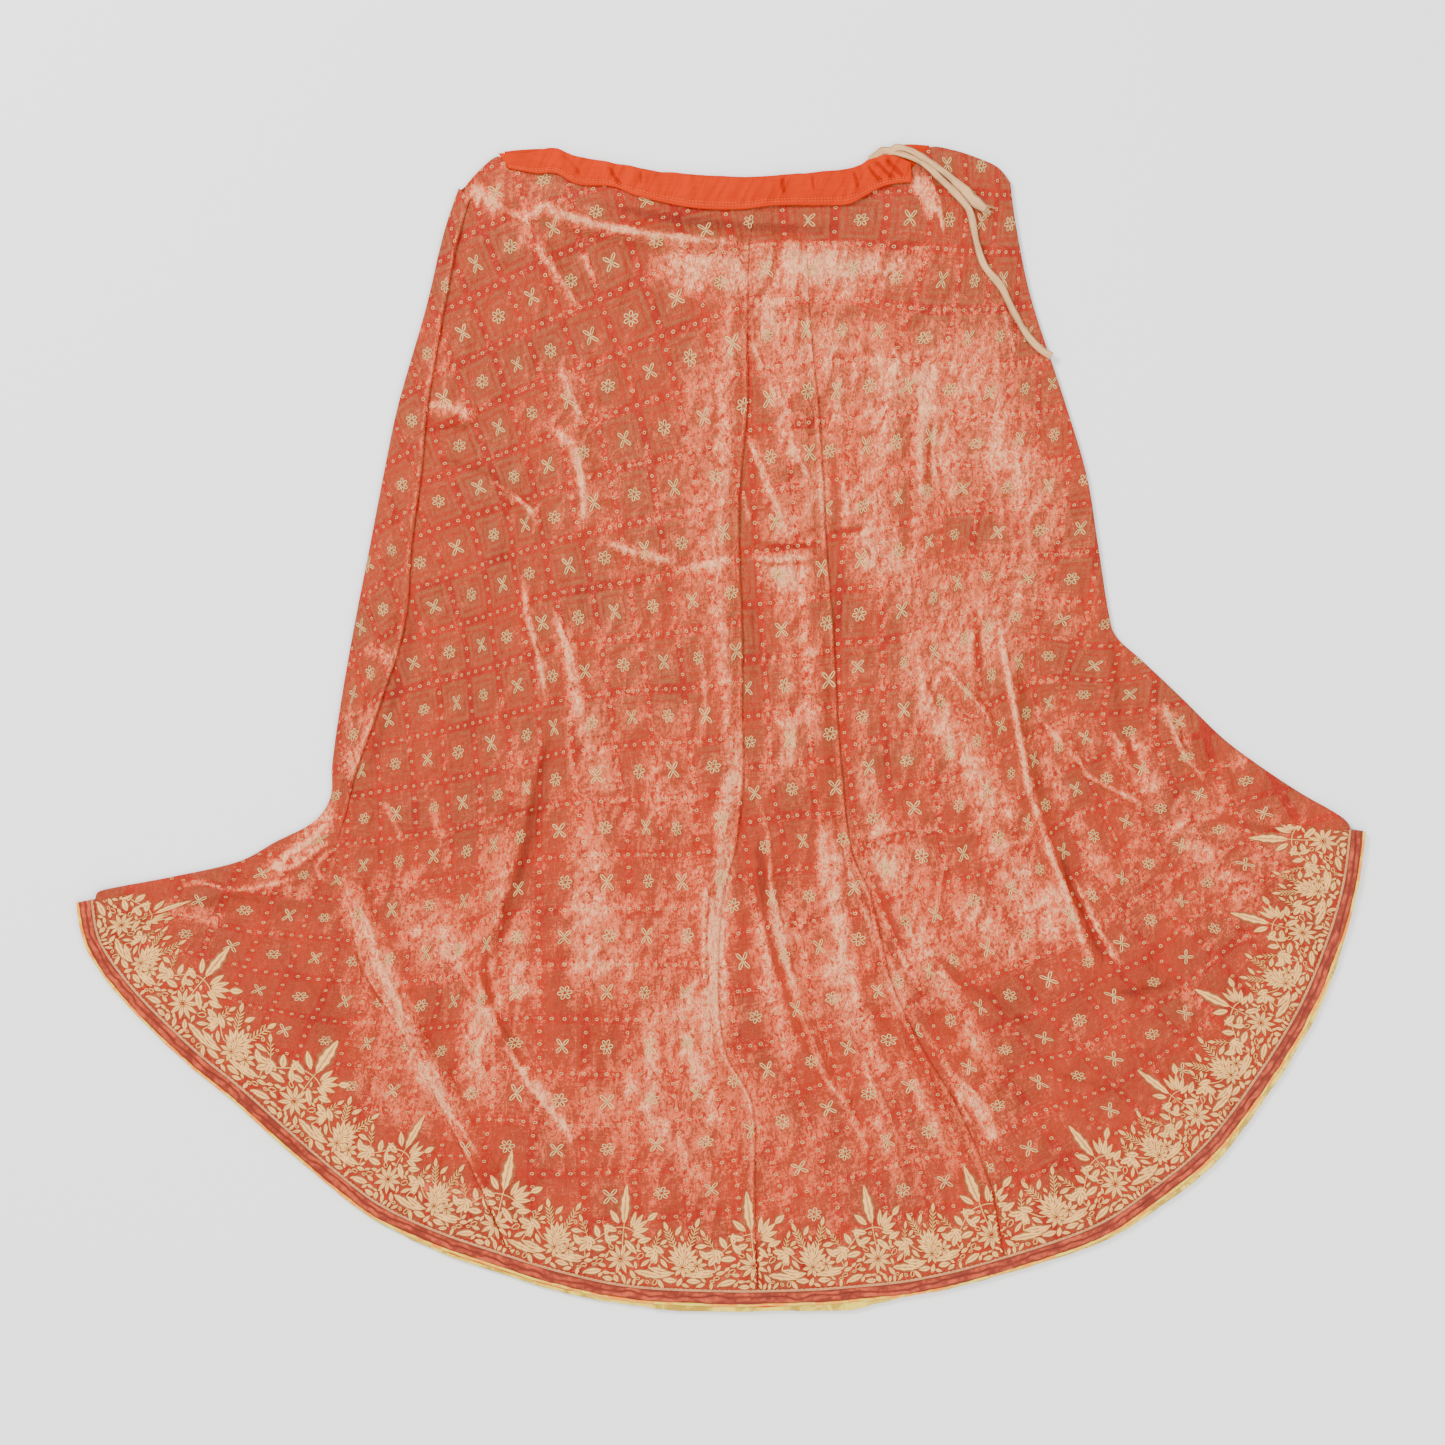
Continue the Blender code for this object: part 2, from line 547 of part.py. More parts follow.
def add_strand(name):
    """One flat strand of the drawstring: an eight-sided tape along its route."""
    strand = STRANDS[name]
    long = np.linalg.norm(np.diff(np.array(strand.points, float), axis=0), axis=1).sum() * UNIT / MM
    count = int(long / (TAPE_STEP * strand.width)) + 2
    route = even_curve(strand.points, 2 * count)
    share = np.linspace(0, 1, len(route))
    rise = np.interp(share, np.linspace(0, 1, len(strand.rise)), strand.rise)
    middle = cloth_top(route) + TAPE_CLEAR + rise + TAPE_THICK / 2
    middle = np.maximum(middle, np.convolve(np.pad(middle, 1, mode="edge"), [0.25, 0.5, 0.25], "valid"))
    turn = np.linspace(0, 2 * np.pi, 9)[:-1] + np.pi / 8
    half = strand.width / 2 * MM / UNIT
    rings = []
    for angle in turn:
        side = half * np.cos(angle) / np.cos(np.pi / 8)
        lift = TAPE_THICK / 2 * np.sin(angle) / np.sin(3 * np.pi / 8)
        rings.append(in_metres(shifted(route, np.full(len(route), side)), middle + lift))
    rings = np.stack(rings, axis=1)
    stations, sides = rings.shape[:2]
    index = np.arange(stations * sides).reshape(stations, sides)
    faces = [tuple(int(i) for i in index[0]), tuple(int(i) for i in index[-1][::-1])]
    for r in range(stations - 1):
        for c in range(sides):
            d = (c + 1) % sides
            faces.append(tuple(int(i) for i in (index[r, c], index[r + 1, c], index[r + 1, d], index[r, d])))
    mesh = bpy.data.meshes.new(name)
    mesh.from_pydata([tuple(map(float, p)) for p in rings.reshape(-1, 3)], [], faces)
    shape = bmesh.new()
    shape.from_mesh(mesh)
    bmesh.ops.triangulate(shape, faces=shape.faces)
    bmesh.ops.recalc_face_normals(shape, faces=shape.faces)
    shape.to_mesh(mesh)
    shape.free()
    mesh.materials.append(material("tape_cotton"))
    mesh.shade_smooth()
    bpy.context.scene.collection.objects.link(bpy.data.objects.new(name, mesh))


def main():
    for old in list(bpy.data.objects):
        bpy.data.objects.remove(old, do_unlink=True)
    for name in GORES:
        add_gore(name)
    add_back_panel()
    add_waistband()
    add_hem()
    for name in STRANDS:
        add_strand(name)


main()
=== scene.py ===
"""A lehenga skirt of red tissue silk laid flat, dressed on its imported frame.

Run as a script, it builds the cloth, the hem, the waistband, the embroidery and the drawstring, one
operator for each. Plans are in drawing units, x to the right and y down, as in the part's source, and
heights are in millimetres above the surface that the skirt lies on.
"""

from collections import namedtuple

import bpy
import numpy as np
from bpy.props import FloatProperty, FloatVectorProperty, IntProperty, PointerProperty
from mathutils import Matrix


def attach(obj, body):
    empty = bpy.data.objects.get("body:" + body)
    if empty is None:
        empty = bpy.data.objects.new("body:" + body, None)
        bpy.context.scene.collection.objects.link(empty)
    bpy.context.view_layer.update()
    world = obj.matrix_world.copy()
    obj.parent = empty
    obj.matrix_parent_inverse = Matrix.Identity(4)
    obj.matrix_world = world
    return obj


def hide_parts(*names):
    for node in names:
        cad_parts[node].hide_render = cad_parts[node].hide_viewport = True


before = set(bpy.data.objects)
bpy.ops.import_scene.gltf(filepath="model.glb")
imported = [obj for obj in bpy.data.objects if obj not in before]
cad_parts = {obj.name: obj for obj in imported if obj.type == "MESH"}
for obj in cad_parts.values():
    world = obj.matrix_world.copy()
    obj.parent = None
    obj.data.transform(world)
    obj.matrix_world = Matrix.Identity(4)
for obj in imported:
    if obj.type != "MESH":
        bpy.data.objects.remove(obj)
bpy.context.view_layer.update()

bl_info = {
    "name": "Lehenga Skirt",
    "version": (1, 0, 0),
    "blender": (4, 5, 0),
    "location": "View3D > Sidebar > Lehenga",
    "description": "Builds a flared tissue-silk skirt laid flat, piece by piece",
    "category": "Object",
}

# Sizes shared with the solids
SKIRT_LENGTH = 1.016
DRAWN_LENGTH = 1133.0
DRAWN_CENTRE = (720.5, 727.0)
UNIT = SKIRT_LENGTH / DRAWN_LENGTH
MM = 0.001
PER_MM = MM / UNIT  # drawing units in a millimetre

# Layers, in millimetres
BACK_WALL = 1.4
CLOTH_WALL = 1.2
LAYER_GAP = 0.3
FRONT_REST = BACK_WALL + LAYER_GAP
LINING_RISE = CLOTH_WALL + LAYER_GAP
PIPING_THICK = 2.2
BAND_THICK = 2.0
BAND_BACK_THICK = 1.6
LIP_RISE = 2.3
PUFF = 2.0

# Widths, in drawing units
PIPING_WIDTH = 10.0
BACK_INSET = 2.5
SEAM = 0.4
TURN = 1.0
LINING_IN = 20.0
ROLL_WIDTH = 42.0
ROLL_AT = 17.0
ROLL_HALF = 13.0
ROLL_RISE = 4.6
SETTLE = 16.0
BAND_DEPTH = 29.0
HIDDEN_LAP = 1.5  # a seam's edge runs this far under its neighbour
HIDDEN_DROP = 0.35  # and this many millimetres lower
COVERED = 0.6  # a stitch this many millimetres below the topmost cloth is hidden

# How much the tissue shines: everywhere, by the strokes, by the wide zones, on creases, and by its slope
SHINE_LEAST = 0.20
SHINE_STROKES = 0.90
SHINE_ZONES = 1.15
SHINE_CREASES = 0.48
LEAN = 4.6

# The border's height above the hem line, and how much more its large and small sprays have
BORDER_HEIGHT = 52.0
LARGE_SPRAY = 48.0
SMALL_SPRAY = 22.0

# A motif's room to the border, a ring's, and how near to another motif one may lie
MOTIF_ROOM = 16.0
RING_ROOM = 5.0
MOTIF_APART = (4.0, 17.0)  # nearer it counts as the same one, farther it is another

RASTER = 1445  # the plan's width in drawing units, for the height maps
HEM_LENGTH = 1690.0  # of the hem line, in drawing units
CELL = (43.0, 53.0)  # a flat cell of the woven grid, across and down

# How many quads each cloth is divided into, across and down
CLOTH_GRID = {
    "side_piece_left": (56, 420),
    "front_left_gore": (150, 430),
    "front_centre_gore": (60, 430),
    "front_right_gore": (150, 420),
}

# left_x left_y right_x right_y left_tuck right_tuck left_lift right_lift, down each length of the front
SIDE_STATIONS = [
    (459, 189, 470, 199, 0, 0, 0, 1), (447, 224, 460, 233, 0, 0, 0, 1), (439, 254, 452, 269, 0, 0, 0, 1),
    (426, 310, 444, 312, 0, 0, 0, 1), (399, 404, 428, 406, 0, 0, 0, 1), (385, 470, 422, 470, 0, 0, 0, 1),
    (370, 548, 412, 545, 0, 0, 0, 1), (354, 630, 405, 625, 0, 0, 0, 1), (341, 705, 380, 706, 0, 0, 0, 1),
    (333, 762, 358, 766, 0, 0, 0, 1), (331, 797, 347, 810, 0, 0, 0, 0.5), (314, 822, 338, 848, 0, 0, 0, 0),
    (276, 842, 350, 905, 0, 0, 0, 0), (238, 862, 365, 972, 0, 8, 0, 0), (172, 877, 400, 1028, 0, 9, 0, 0),
    (124, 886, 445, 1112, 0, 9, 0, 0), (98, 892, 485, 1190, 0, 7, 0, 0),
    (92, 900, 503, 1226, 0, -SEAM, 0, 0), (87, 905, 516, 1252, 0, -SEAM, 0, 0),
]
LEFT_STATIONS = [
    (467, 187, 757, 201, -TURN, 0, 0, 0), (460, 233, 749, 250, 4, 0, 0, 0.3),
    (444, 312, 747, 330, 5, 0, 0, 1), (428, 406, 747, 406, 6, 0, 0, 1), (422, 470, 740, 485, 7, 0, 0, 1),
    (412, 545, 739, 545, 9, 0, 0, 1), (405, 625, 742, 630, 9, 0, 0, 1), (380, 706, 742, 715, 7, 0, 0, 1),
    (358, 766, 743, 775, -TURN, 0, 0, 1), (347, 810, 740, 812, -TURN, 0, 0, 1),
    (338, 848, 735, 850, -TURN, 0, 0, 1), (350, 905, 722, 900, -TURN, 0, 1, 1),
    (365, 972, 718, 980, 0, 0, 1, 1), (400, 1028, 725, 1050, 0, 0, 1, 1),
    (445, 1112, 752, 1105, 0, 0, 1, 1), (485, 1190, 754, 1190, 0, 0, 1, 1),
    (503, 1226, 755, 1250, 0, 0, 1, 1), (516, 1252, 757, 1292, 0, 0, 0, 0),
]
CENTRE_STATIONS = [
    (757, 201, 805, 199, -SEAM, -SEAM, 0, 0), (749, 250, 807, 255, -SEAM, 0, 0, 0),
    (747, 330, 810, 325, -SEAM, 0, 0, 1), (747, 406, 818, 406, 9, 0, 0, 1),
    (740, 485, 823, 485, 9, 0, 0, 1), (739, 545, 826, 545, 9, 0, 0, 1), (742, 630, 833, 630, 9, 0, 0, 1),
    (742, 715, 837, 715, 9, 0, 0, 1), (743, 775, 842, 775, 9, 0, 0, 1), (735, 850, 851, 850, 9, 0, 0, 1),
    (722, 900, 871, 898, 9, 0, 0, 1), (718, 980, 892, 984, 9, 0, 0, 1), (725, 1050, 922, 1048, 9, 0, 0, 1),
    (752, 1105, 957, 1107, 9, 0, 0, 1), (754, 1190, 988, 1180, 7, 0, 0, 1),
    (755, 1250, 998, 1228, -SEAM, 0, 0, 1), (757, 1292, 1004, 1261, -SEAM, 0, 0, 0),
]
RIGHT_STATIONS = [
    (805, 199, 1010, 183, -SEAM, 0, 0, 0), (807, 255, 1016, 228, -SEAM, 0, 0, 0),
    (810, 325, 1031, 300, -SEAM, 0, 0, 0), (818, 406, 1063, 398, 8, 0, 0, 0),
    (823, 485, 1086, 475, 9, 0, 0, 0), (826, 545, 1098, 548, 9, 0, 0, 0), (833, 630, 1108, 612, 9, 0, 0, 0),
    (837, 715, 1116, 637, 9, 0, 0, 0), (842, 775, 1142, 661, 9, 0, 0, 0), (851, 850, 1180, 697, 9, 0, 0, 0),
    (871, 898, 1222, 738, 9, 0, 0, 0), (892, 984, 1262, 768, 9, 0, 0, 0),
    (922, 1048, 1300, 793, 9, 0, 0, 0), (957, 1107, 1328, 809, 9, 0, 0, 0),
    (988, 1180, 1342, 818, 7, 0, 0, 0), (998, 1228, 1348, 825, -SEAM, 0, 0, 0),
    (1004, 1261, 1350, 834, -SEAM, 0, 0, 0),
]
GORES = {
    "side_piece_left": SIDE_STATIONS,
    "front_left_gore": LEFT_STATIONS,
    "front_centre_gore": CENTRE_STATIONS,
    "front_right_gore": RIGHT_STATIONS,
}
TOP_EDGES = {
    "front_left_gore": [
        (467, 187), (480, 172), (499, 157), (512, 167), (530, 168), (557, 167), (590, 180),
        (628, 183), (660, 194), (700, 200), (757, 201),
    ],
    "front_right_gore": [
        (805, 199), (840, 199), (862, 192), (886, 182), (904, 177), (915, 166), (930, 148),
        (955, 151), (979, 159), (998, 168), (1010, 183),
    ],
}
HEM_LINE = [
    (80, 902), (90, 948), (128, 1001), (187, 1059), (232, 1096), (280, 1139), (330, 1182), (374, 1215),
    (429, 1241), (486, 1261), (557, 1283), (629, 1298), (720, 1303), (800, 1302), (860, 1298), (919, 1291),
    (990, 1274), (1097, 1238), (1162, 1196), (1214, 1152), (1262, 1090), (1308, 1016), (1338, 945),
    (1355, 885), (1362, 831),
]
# Share of the hem's length, and how far the orange lining and its satin edging reach past the hem line
PEEKS = [
    (0.00, -3.0, 0.0), (0.07, -1.0, 3.0), (0.14, -3.0, 0.5), (0.26, -1.0, 3.0), (0.31, 4.0, 6.5),
    (0.38, 4.0, 7.0), (0.42, 0.0, 6.0), (0.45, 0.0, 9.0), (0.5, 4.0, 7.0), (0.55, 0.0, 10.5),
    (0.58, -1.0, 3.0), (0.68, -2.0, 4.0), (0.77, 0.0, 8.0), (0.9, 0.0, 6.0), (1.00, -3.0, 0.0),
]
BAND_TOP = [
    (499, 154), (530, 153), (554, 148), (575, 157), (612, 163), (640, 169), (688, 175), (735, 177),
    (782, 175), (826, 172), (854, 168), (870, 161), (886, 156), (900, 158), (911, 163),
]
BAND_BOTTOM = [
    (509, 169), (536, 174), (556, 174), (578, 185), (612, 187), (639, 197), (690, 208), (737, 210),
    (775, 206), (817, 206), (847, 205), (864, 197), (880, 188), (896, 184), (911, 183),
]
BACK_BAND_TOP = [
    (505, 152), (524, 150), (552, 150), (575, 159), (612, 165), (640, 171), (688, 177), (735, 179),
    (782, 177), (826, 174), (854, 169), (868, 160), (884, 151), (905, 145), (929, 146),
]
BAND_GATHERS = [560, 583, 608, 632, 655, 690, 782, 812, 840, 856, 870, 884, 898]
GATHER_HALF = 7.0
GATHER_RISE = 1.3

Stroke = namedtuple("Stroke", "value half points")


def stroke_table(rows):
    """Strokes from rows of a value, a half width, and then x and y of each point of the line."""
    return [Stroke(row[0], row[1], list(zip(row[2::2], row[3::2]))) for row in rows]


# The folds that the solids have too: rise in millimetres, half width, and the line of each
FOLDS = stroke_table([
    (6.2, 17, 482, 200, 520, 214, 560, 217, 630, 234, 720, 243, 820, 248, 890, 252),
    (4.1, 14, 532, 236, 558, 275, 581, 310), (4.3, 16, 444, 416, 482, 414),
    (4.1, 14, 489, 481, 512, 494, 539, 529), (3.8, 14, 558, 355, 579, 440, 585, 533),
    (3.2, 14, 600, 540, 640, 556, 690, 563), (4.1, 14, 524, 565, 530, 640, 548, 707),
    (3.8, 14, 552, 602, 571, 657, 584, 700),
    (6.8, 16, 550, 713, 534, 778, 517, 858, 490, 927, 478, 975, 494, 1024, 532, 1090),
    (4.6, 14, 600, 900, 597, 980, 612, 1060, 640, 1120), (3.5, 12, 175, 896, 240, 893, 305, 882),
    (4.1, 16, 300, 950, 340, 1010, 390, 1090),
    (4.9, 14, 768, 826, 772, 885, 796, 990, 827, 1080, 862, 1150),
    (3.5, 13, 768, 440, 785, 500, 790, 620, 795, 700), (4.6, 14, 925, 405, 921, 468, 924, 510),
    (3.5, 14, 882, 300, 892, 380, 890, 470),
    (6.8, 16, 998, 604, 1009, 682, 1023, 757, 1040, 826, 1063, 887, 1098, 980),
    (4.9, 14, 942, 660, 968, 700, 994, 740), (5.7, 14, 1090, 500, 1098, 580, 1104, 650, 1112, 720),
    (4.9, 15, 1150, 690, 1176, 745, 1212, 789), (4.1, 15, 1040, 705, 1080, 758, 1137, 803, 1170, 826),
    (5.1, 15, 905, 930, 935, 1000, 985, 1060, 1030, 1120), (4.1, 15, 1120, 950, 1170, 1000, 1205, 1060),
    (3.8, 15, 1225, 860, 1262, 900, 1285, 950), (4.3, 11, 912, 172, 934, 196, 944, 240),
])
# Finer creases of the cloth itself, minus for troughs
CREASES = stroke_table([
    (1.6, 5, 470, 184, 501, 208, 532, 220, 546, 206, 562, 216, 624, 232, 705, 242, 760, 244),
    (-1.4, 8, 560, 196, 640, 214, 740, 228, 860, 232), (1.3, 4, 532, 236, 546, 261, 558, 275, 581, 310),
    (1.0, 4, 583, 252, 590, 270, 597, 288), (-2.0, 6, 420, 431, 450, 430, 478, 428),
    (1.6, 5, 428, 404, 450, 408, 474, 416), (-1.8, 5, 422, 460, 462, 466, 493, 477, 522, 498, 547, 517),
    (1.6, 4, 489, 479, 512, 492, 531, 510, 540, 530),
    (1.6, 5, 543, 422, 570, 443, 579, 464, 585, 493, 585, 533), (1.2, 4, 558, 355, 575, 401, 589, 433),
    (1.3, 5, 600, 540, 638, 554, 680, 563), (1.2, 4, 673, 571, 707, 565, 742, 558),
    (1.4, 4, 524, 565, 526, 604, 540, 660, 548, 707), (1.4, 5, 552, 602, 571, 657, 584, 696),
    (1.2, 5, 567, 707, 570, 745, 572, 782),
    (-2.6, 6, 556, 716, 547, 752, 540, 780, 533, 812, 523, 860, 514, 893, 497, 930),
    (-1.8, 6, 497, 930, 486, 968, 494, 1000, 505, 1026, 520, 1054, 545, 1092),
    (1.3, 5, 383, 799, 395, 822, 406, 847), (1.4, 4, 165, 888, 205, 883, 221, 889, 240, 890, 313, 876),
    (1.3, 4, 262, 866, 292, 868, 318, 850, 340, 838), (1.2, 4, 280, 858, 306, 846, 330, 822),
    (1.1, 4, 330, 884, 318, 868, 336, 846), (1.6, 4, 751, 341, 758, 356, 764, 374),
    (2.0, 4, 745, 433, 759, 460, 772, 494, 789, 537), (1.6, 4, 789, 445, 800, 462, 810, 481),
    (1.5, 4, 742, 489, 747, 508, 751, 525), (-2.2, 5, 743, 544, 780, 549, 824, 547),
    (1.6, 5, 743, 556, 780, 560, 822, 557), (-1.6, 5, 828, 533, 850, 532, 870, 528),
    (1.2, 4, 772, 715, 780, 724, 791, 732),
    (2.0, 4, 749, 793, 759, 803, 766, 826, 769, 849, 771, 885, 786, 956, 804, 1019),
    (1.8, 4, 804, 1019, 815, 1051, 827, 1080, 846, 1105, 867, 1155),
    (-2.0, 6, 758, 815, 762, 860, 764, 900, 775, 950, 792, 1010, 812, 1066),
    (1.6, 4, 925, 412, 921, 440, 921, 468, 923, 502), (-1.4, 5, 933, 410, 930, 450, 931, 500),
    (-1.7, 6, 975, 600, 979, 642, 982, 682),
    (2.2, 4, 998, 604, 1003, 648, 1009, 682, 1023, 757, 1028, 791, 1040, 826),
    (2.2, 4, 1040, 826, 1051, 854, 1063, 887, 1077, 923, 1098, 980),
    (-2.4, 6, 1056, 846, 1075, 890, 1094, 935, 1110, 975),
    (1.8, 4, 1064, 864, 1083, 898, 1092, 919, 1110, 950, 1125, 973), (1.6, 4, 942, 667, 982, 709, 994, 734),
    (-1.6, 5, 925, 676, 935, 696, 946, 715), (1.2, 4, 1037, 682, 1050, 683, 1063, 680),
    (1.6, 4, 1032, 701, 1051, 732, 1080, 764, 1090, 778, 1137, 803, 1160, 824),
    (-2.0, 7, 926, 942, 962, 982, 1002, 1005, 1025, 1023, 1052, 1051),
    (-1.8, 7, 1096, 992, 1134, 994, 1180, 982), (-1.6, 6, 1046, 1072, 1071, 1078, 1106, 1090, 1129, 1097),
    (-1.8, 6, 1124, 722, 1132, 752, 1145, 784), (1.8, 4, 1162, 698, 1181, 750, 1212, 789),
    (-1.6, 6, 1212, 815, 1262, 830, 1298, 828), (1.5, 4, 1108, 730, 1122, 745, 1130, 738, 1136, 752),
    (1.7, 4, 876, 898, 899, 952, 920, 994),
    (1.6, 4, 905, 1010, 930, 1040, 952, 1075, 985, 1105, 1000, 1148),
    (1.5, 4, 862, 1060, 885, 1110, 900, 1150), (1.4, 4, 950, 1070, 960, 1100, 972, 1130),
    (1.3, 4, 840, 820, 850, 870, 868, 920, 880, 960), (-1.4, 5, 884, 250, 905, 246, 930, 240),
    (1.5, 4, 1004, 310, 1009, 330, 1014, 352), (1.5, 4, 912, 170, 926, 192, 940, 214, 945, 240),
    (1.3, 5, 700, 640, 706, 700, 700, 760), (1.2, 3, 716, 860, 712, 920, 714, 980, 720, 1040),
    (1.2, 3, 708, 870, 704, 930, 706, 1000), (1.2, 3, 726, 850, 720, 890, 724, 960, 728, 1020),
    (1.3, 5, 362, 900, 378, 952, 398, 1000, 412, 1030),
    (1.5, 4, 410, 1044, 440, 1096, 470, 1140, 486, 1168),
    (1.3, 5, 500, 1032, 526, 1078, 556, 1116, 580, 1140),
])
# Where the tissue shines, more or less, as the cloth is tilted to the light: strength, half width and line
SHINES = stroke_table([
    (1.0, 15, 468, 184, 484, 198, 505, 212),
    (0.9, 9, 500, 210, 530, 222, 546, 208, 562, 218, 600, 227, 640, 235, 690, 241, 750, 244),
    (0.4, 26, 500, 232, 560, 244), (0.55, 30, 640, 262, 700, 268, 745, 262),
    (0.65, 16, 722, 250, 728, 330, 727, 400, 722, 480, 722, 560, 722, 640, 728, 710, 724, 800),
    (0.4, 34, 700, 300, 706, 420, 700, 560, 706, 700), (0.8, 7, 533, 236, 548, 262, 560, 285, 580, 309),
    (0.4, 7, 583, 250, 594, 280), (0.9, 13, 424, 412, 450, 408, 478, 422),
    (0.75, 9, 543, 424, 562, 437, 577, 455, 583, 485, 584, 520, 578, 540),
    (0.7, 9, 562, 366, 572, 398, 586, 425), (0.85, 9, 600, 542, 640, 554, 682, 564),
    (0.7, 6, 673, 572, 712, 566, 738, 556), (0.5, 9, 500, 486, 530, 508, 542, 528),
    (0.7, 7, 524, 566, 528, 610, 541, 660, 548, 708), (0.85, 12, 552, 604, 568, 650, 577, 700, 582, 760),
    (0.5, 20, 590, 700, 600, 760, 610, 800), (0.8, 13, 362, 648, 384, 654, 402, 662),
    (0.45, 15, 346, 694, 352, 730, 344, 780), (1.0, 16, 338, 796, 316, 834, 288, 856, 258, 868),
    (0.7, 12, 372, 700, 360, 744, 346, 786), (0.75, 38, 575, 800, 588, 850, 588, 910, 592, 970, 600, 1020),
    (0.6, 16, 648, 1000, 652, 1060, 660, 1120), (0.45, 20, 640, 740, 660, 800, 690, 780),
    (0.35, 14, 622, 880, 624, 940, 626, 1000),
    (1.0, 21, 338, 850, 352, 900, 372, 950, 398, 1002, 420, 1058, 452, 1112, 482, 1160),
    (0.85, 26, 462, 985, 482, 1010, 476, 1060, 482, 1120), (0.7, 13, 436, 918, 452, 950, 466, 980),
    (0.5, 9, 420, 780, 438, 830, 452, 884), (0.7, 12, 505, 982, 524, 990, 542, 984),
    (0.8, 10, 508, 1040, 530, 1078, 558, 1116, 580, 1150),
    (0.55, 13, 610, 1050, 640, 1100, 680, 1152, 716, 1204), (0.6, 14, 676, 1030, 702, 1082, 720, 1140),
    (0.5, 13, 152, 904, 196, 914, 236, 922), (0.35, 10, 246, 886, 284, 886, 322, 902),
    (0.5, 24, 338, 1070, 380, 1100, 440, 1136), (0.5, 14, 410, 1180, 450, 1190, 500, 1200),
    (0.55, 26, 752, 266, 805, 262, 860, 266, 920, 266, 965, 276), (0.7, 22, 768, 290, 776, 340),
    (0.5, 14, 770, 370, 782, 420, 800, 470), (0.85, 7, 748, 428, 762, 468, 786, 530),
    (0.85, 18, 752, 572, 786, 576, 816, 580), (0.5, 12, 800, 620, 812, 700, 816, 770),
    (0.4, 10, 776, 700, 790, 740, 776, 770), (0.5, 16, 824, 300, 836, 372, 834, 430, 842, 490),
    (0.4, 28, 868, 296, 884, 380, 880, 470, 868, 560, 876, 640),
    (0.6, 14, 940, 300, 930, 380, 924, 450, 919, 510, 914, 570),
    (0.5, 50, 958, 300, 990, 400, 1030, 500, 1070, 590), (0.5, 30, 900, 340, 930, 420, 960, 520),
    (0.5, 30, 1010, 560, 1060, 610, 1096, 634),
    (0.7, 22, 898, 610, 920, 680, 954, 744, 1000, 804, 1040, 856),
    (1.0, 5, 998, 604, 1003, 648, 1009, 682, 1023, 757, 1040, 826, 1063, 887, 1098, 980),
    (0.8, 5, 1064, 864, 1083, 898, 1092, 919, 1125, 973), (0.6, 14, 846, 620, 850, 700, 866, 760),
    (1.0, 15, 735, 700, 735, 760, 725, 810, 724, 860, 719, 910, 716, 970, 718, 1020),
    (0.9, 23, 750, 872, 768, 920, 770, 975, 782, 1030, 792, 1084),
    (0.75, 17, 818, 800, 830, 870, 840, 930, 850, 1000),
    (0.85, 22, 832, 940, 848, 1000, 868, 1050, 880, 1100),
    (0.75, 16, 852, 740, 872, 800, 886, 862, 902, 910), (0.8, 16, 896, 900, 928, 950, 960, 1012, 998, 1082),
    (0.7, 36, 1000, 860, 1030, 900, 1064, 946), (0.7, 26, 950, 880, 990, 930, 1040, 976),
    (0.6, 20, 960, 780, 990, 830, 1010, 870), (0.6, 16, 1030, 730, 1060, 790, 1090, 850, 1120, 900),
    (0.8, 20, 1118, 724, 1140, 768, 1162, 806), (0.8, 12, 1150, 700, 1180, 730, 1190, 770),
    (0.6, 20, 1166, 812, 1200, 850, 1236, 890, 1270, 920), (0.6, 14, 1216, 752, 1248, 768),
    (0.4, 20, 1250, 800, 1290, 860), (0.8, 9, 950, 1078, 976, 1108, 1000, 1152),
    (0.7, 10, 896, 1050, 926, 1108, 950, 1164), (0.7, 9, 872, 1110, 888, 1150, 900, 1190),
    (0.4, 14, 1056, 1010, 1080, 1034, 1104, 1062), (0.4, 16, 1180, 980, 1200, 1010, 1216, 1040),
    (1.9, 13, 914, 172, 922, 188, 932, 206, 938, 220), (1.2, 3, 926, 176, 936, 196, 941, 216, 943, 240),
    (-0.5, 22, 590, 200, 660, 218, 740, 224, 860, 226, 905, 214),
    (-0.5, 24, 452, 500, 500, 560, 480, 660, 470, 760), (-0.8, 11, 750, 560, 752, 640, 754, 716, 754, 770),
    (-0.6, 8, 832, 400, 834, 470, 836, 540, 842, 630, 850, 716, 856, 780),
    (-0.6, 10, 866, 860, 884, 900, 900, 960, 930, 1020),
    (-0.8, 11, 412, 560, 410, 640, 392, 706, 370, 766, 356, 816),
    (-0.9, 8, 562, 716, 550, 760, 542, 800, 530, 850, 518, 896, 500, 940, 494, 990),
    (-0.8, 9, 1114, 640, 1116, 690, 1118, 724, 1130, 752, 1145, 784),
    (-0.9, 9, 758, 830, 762, 880, 766, 920), (-0.6, 10, 1050, 830, 1070, 880, 1096, 940, 1120, 990),
    (-0.5, 34, 1110, 1000, 1160, 960, 1190, 930), (-0.4, 36, 230, 960, 300, 1000, 350, 1050),
    (-0.6, 12, 180, 892, 250, 900, 300, 920), (-0.6, 12, 1186, 726, 1206, 752, 1236, 756),
    (-0.4, 16, 1010, 250, 1000, 200, 975, 170),
])
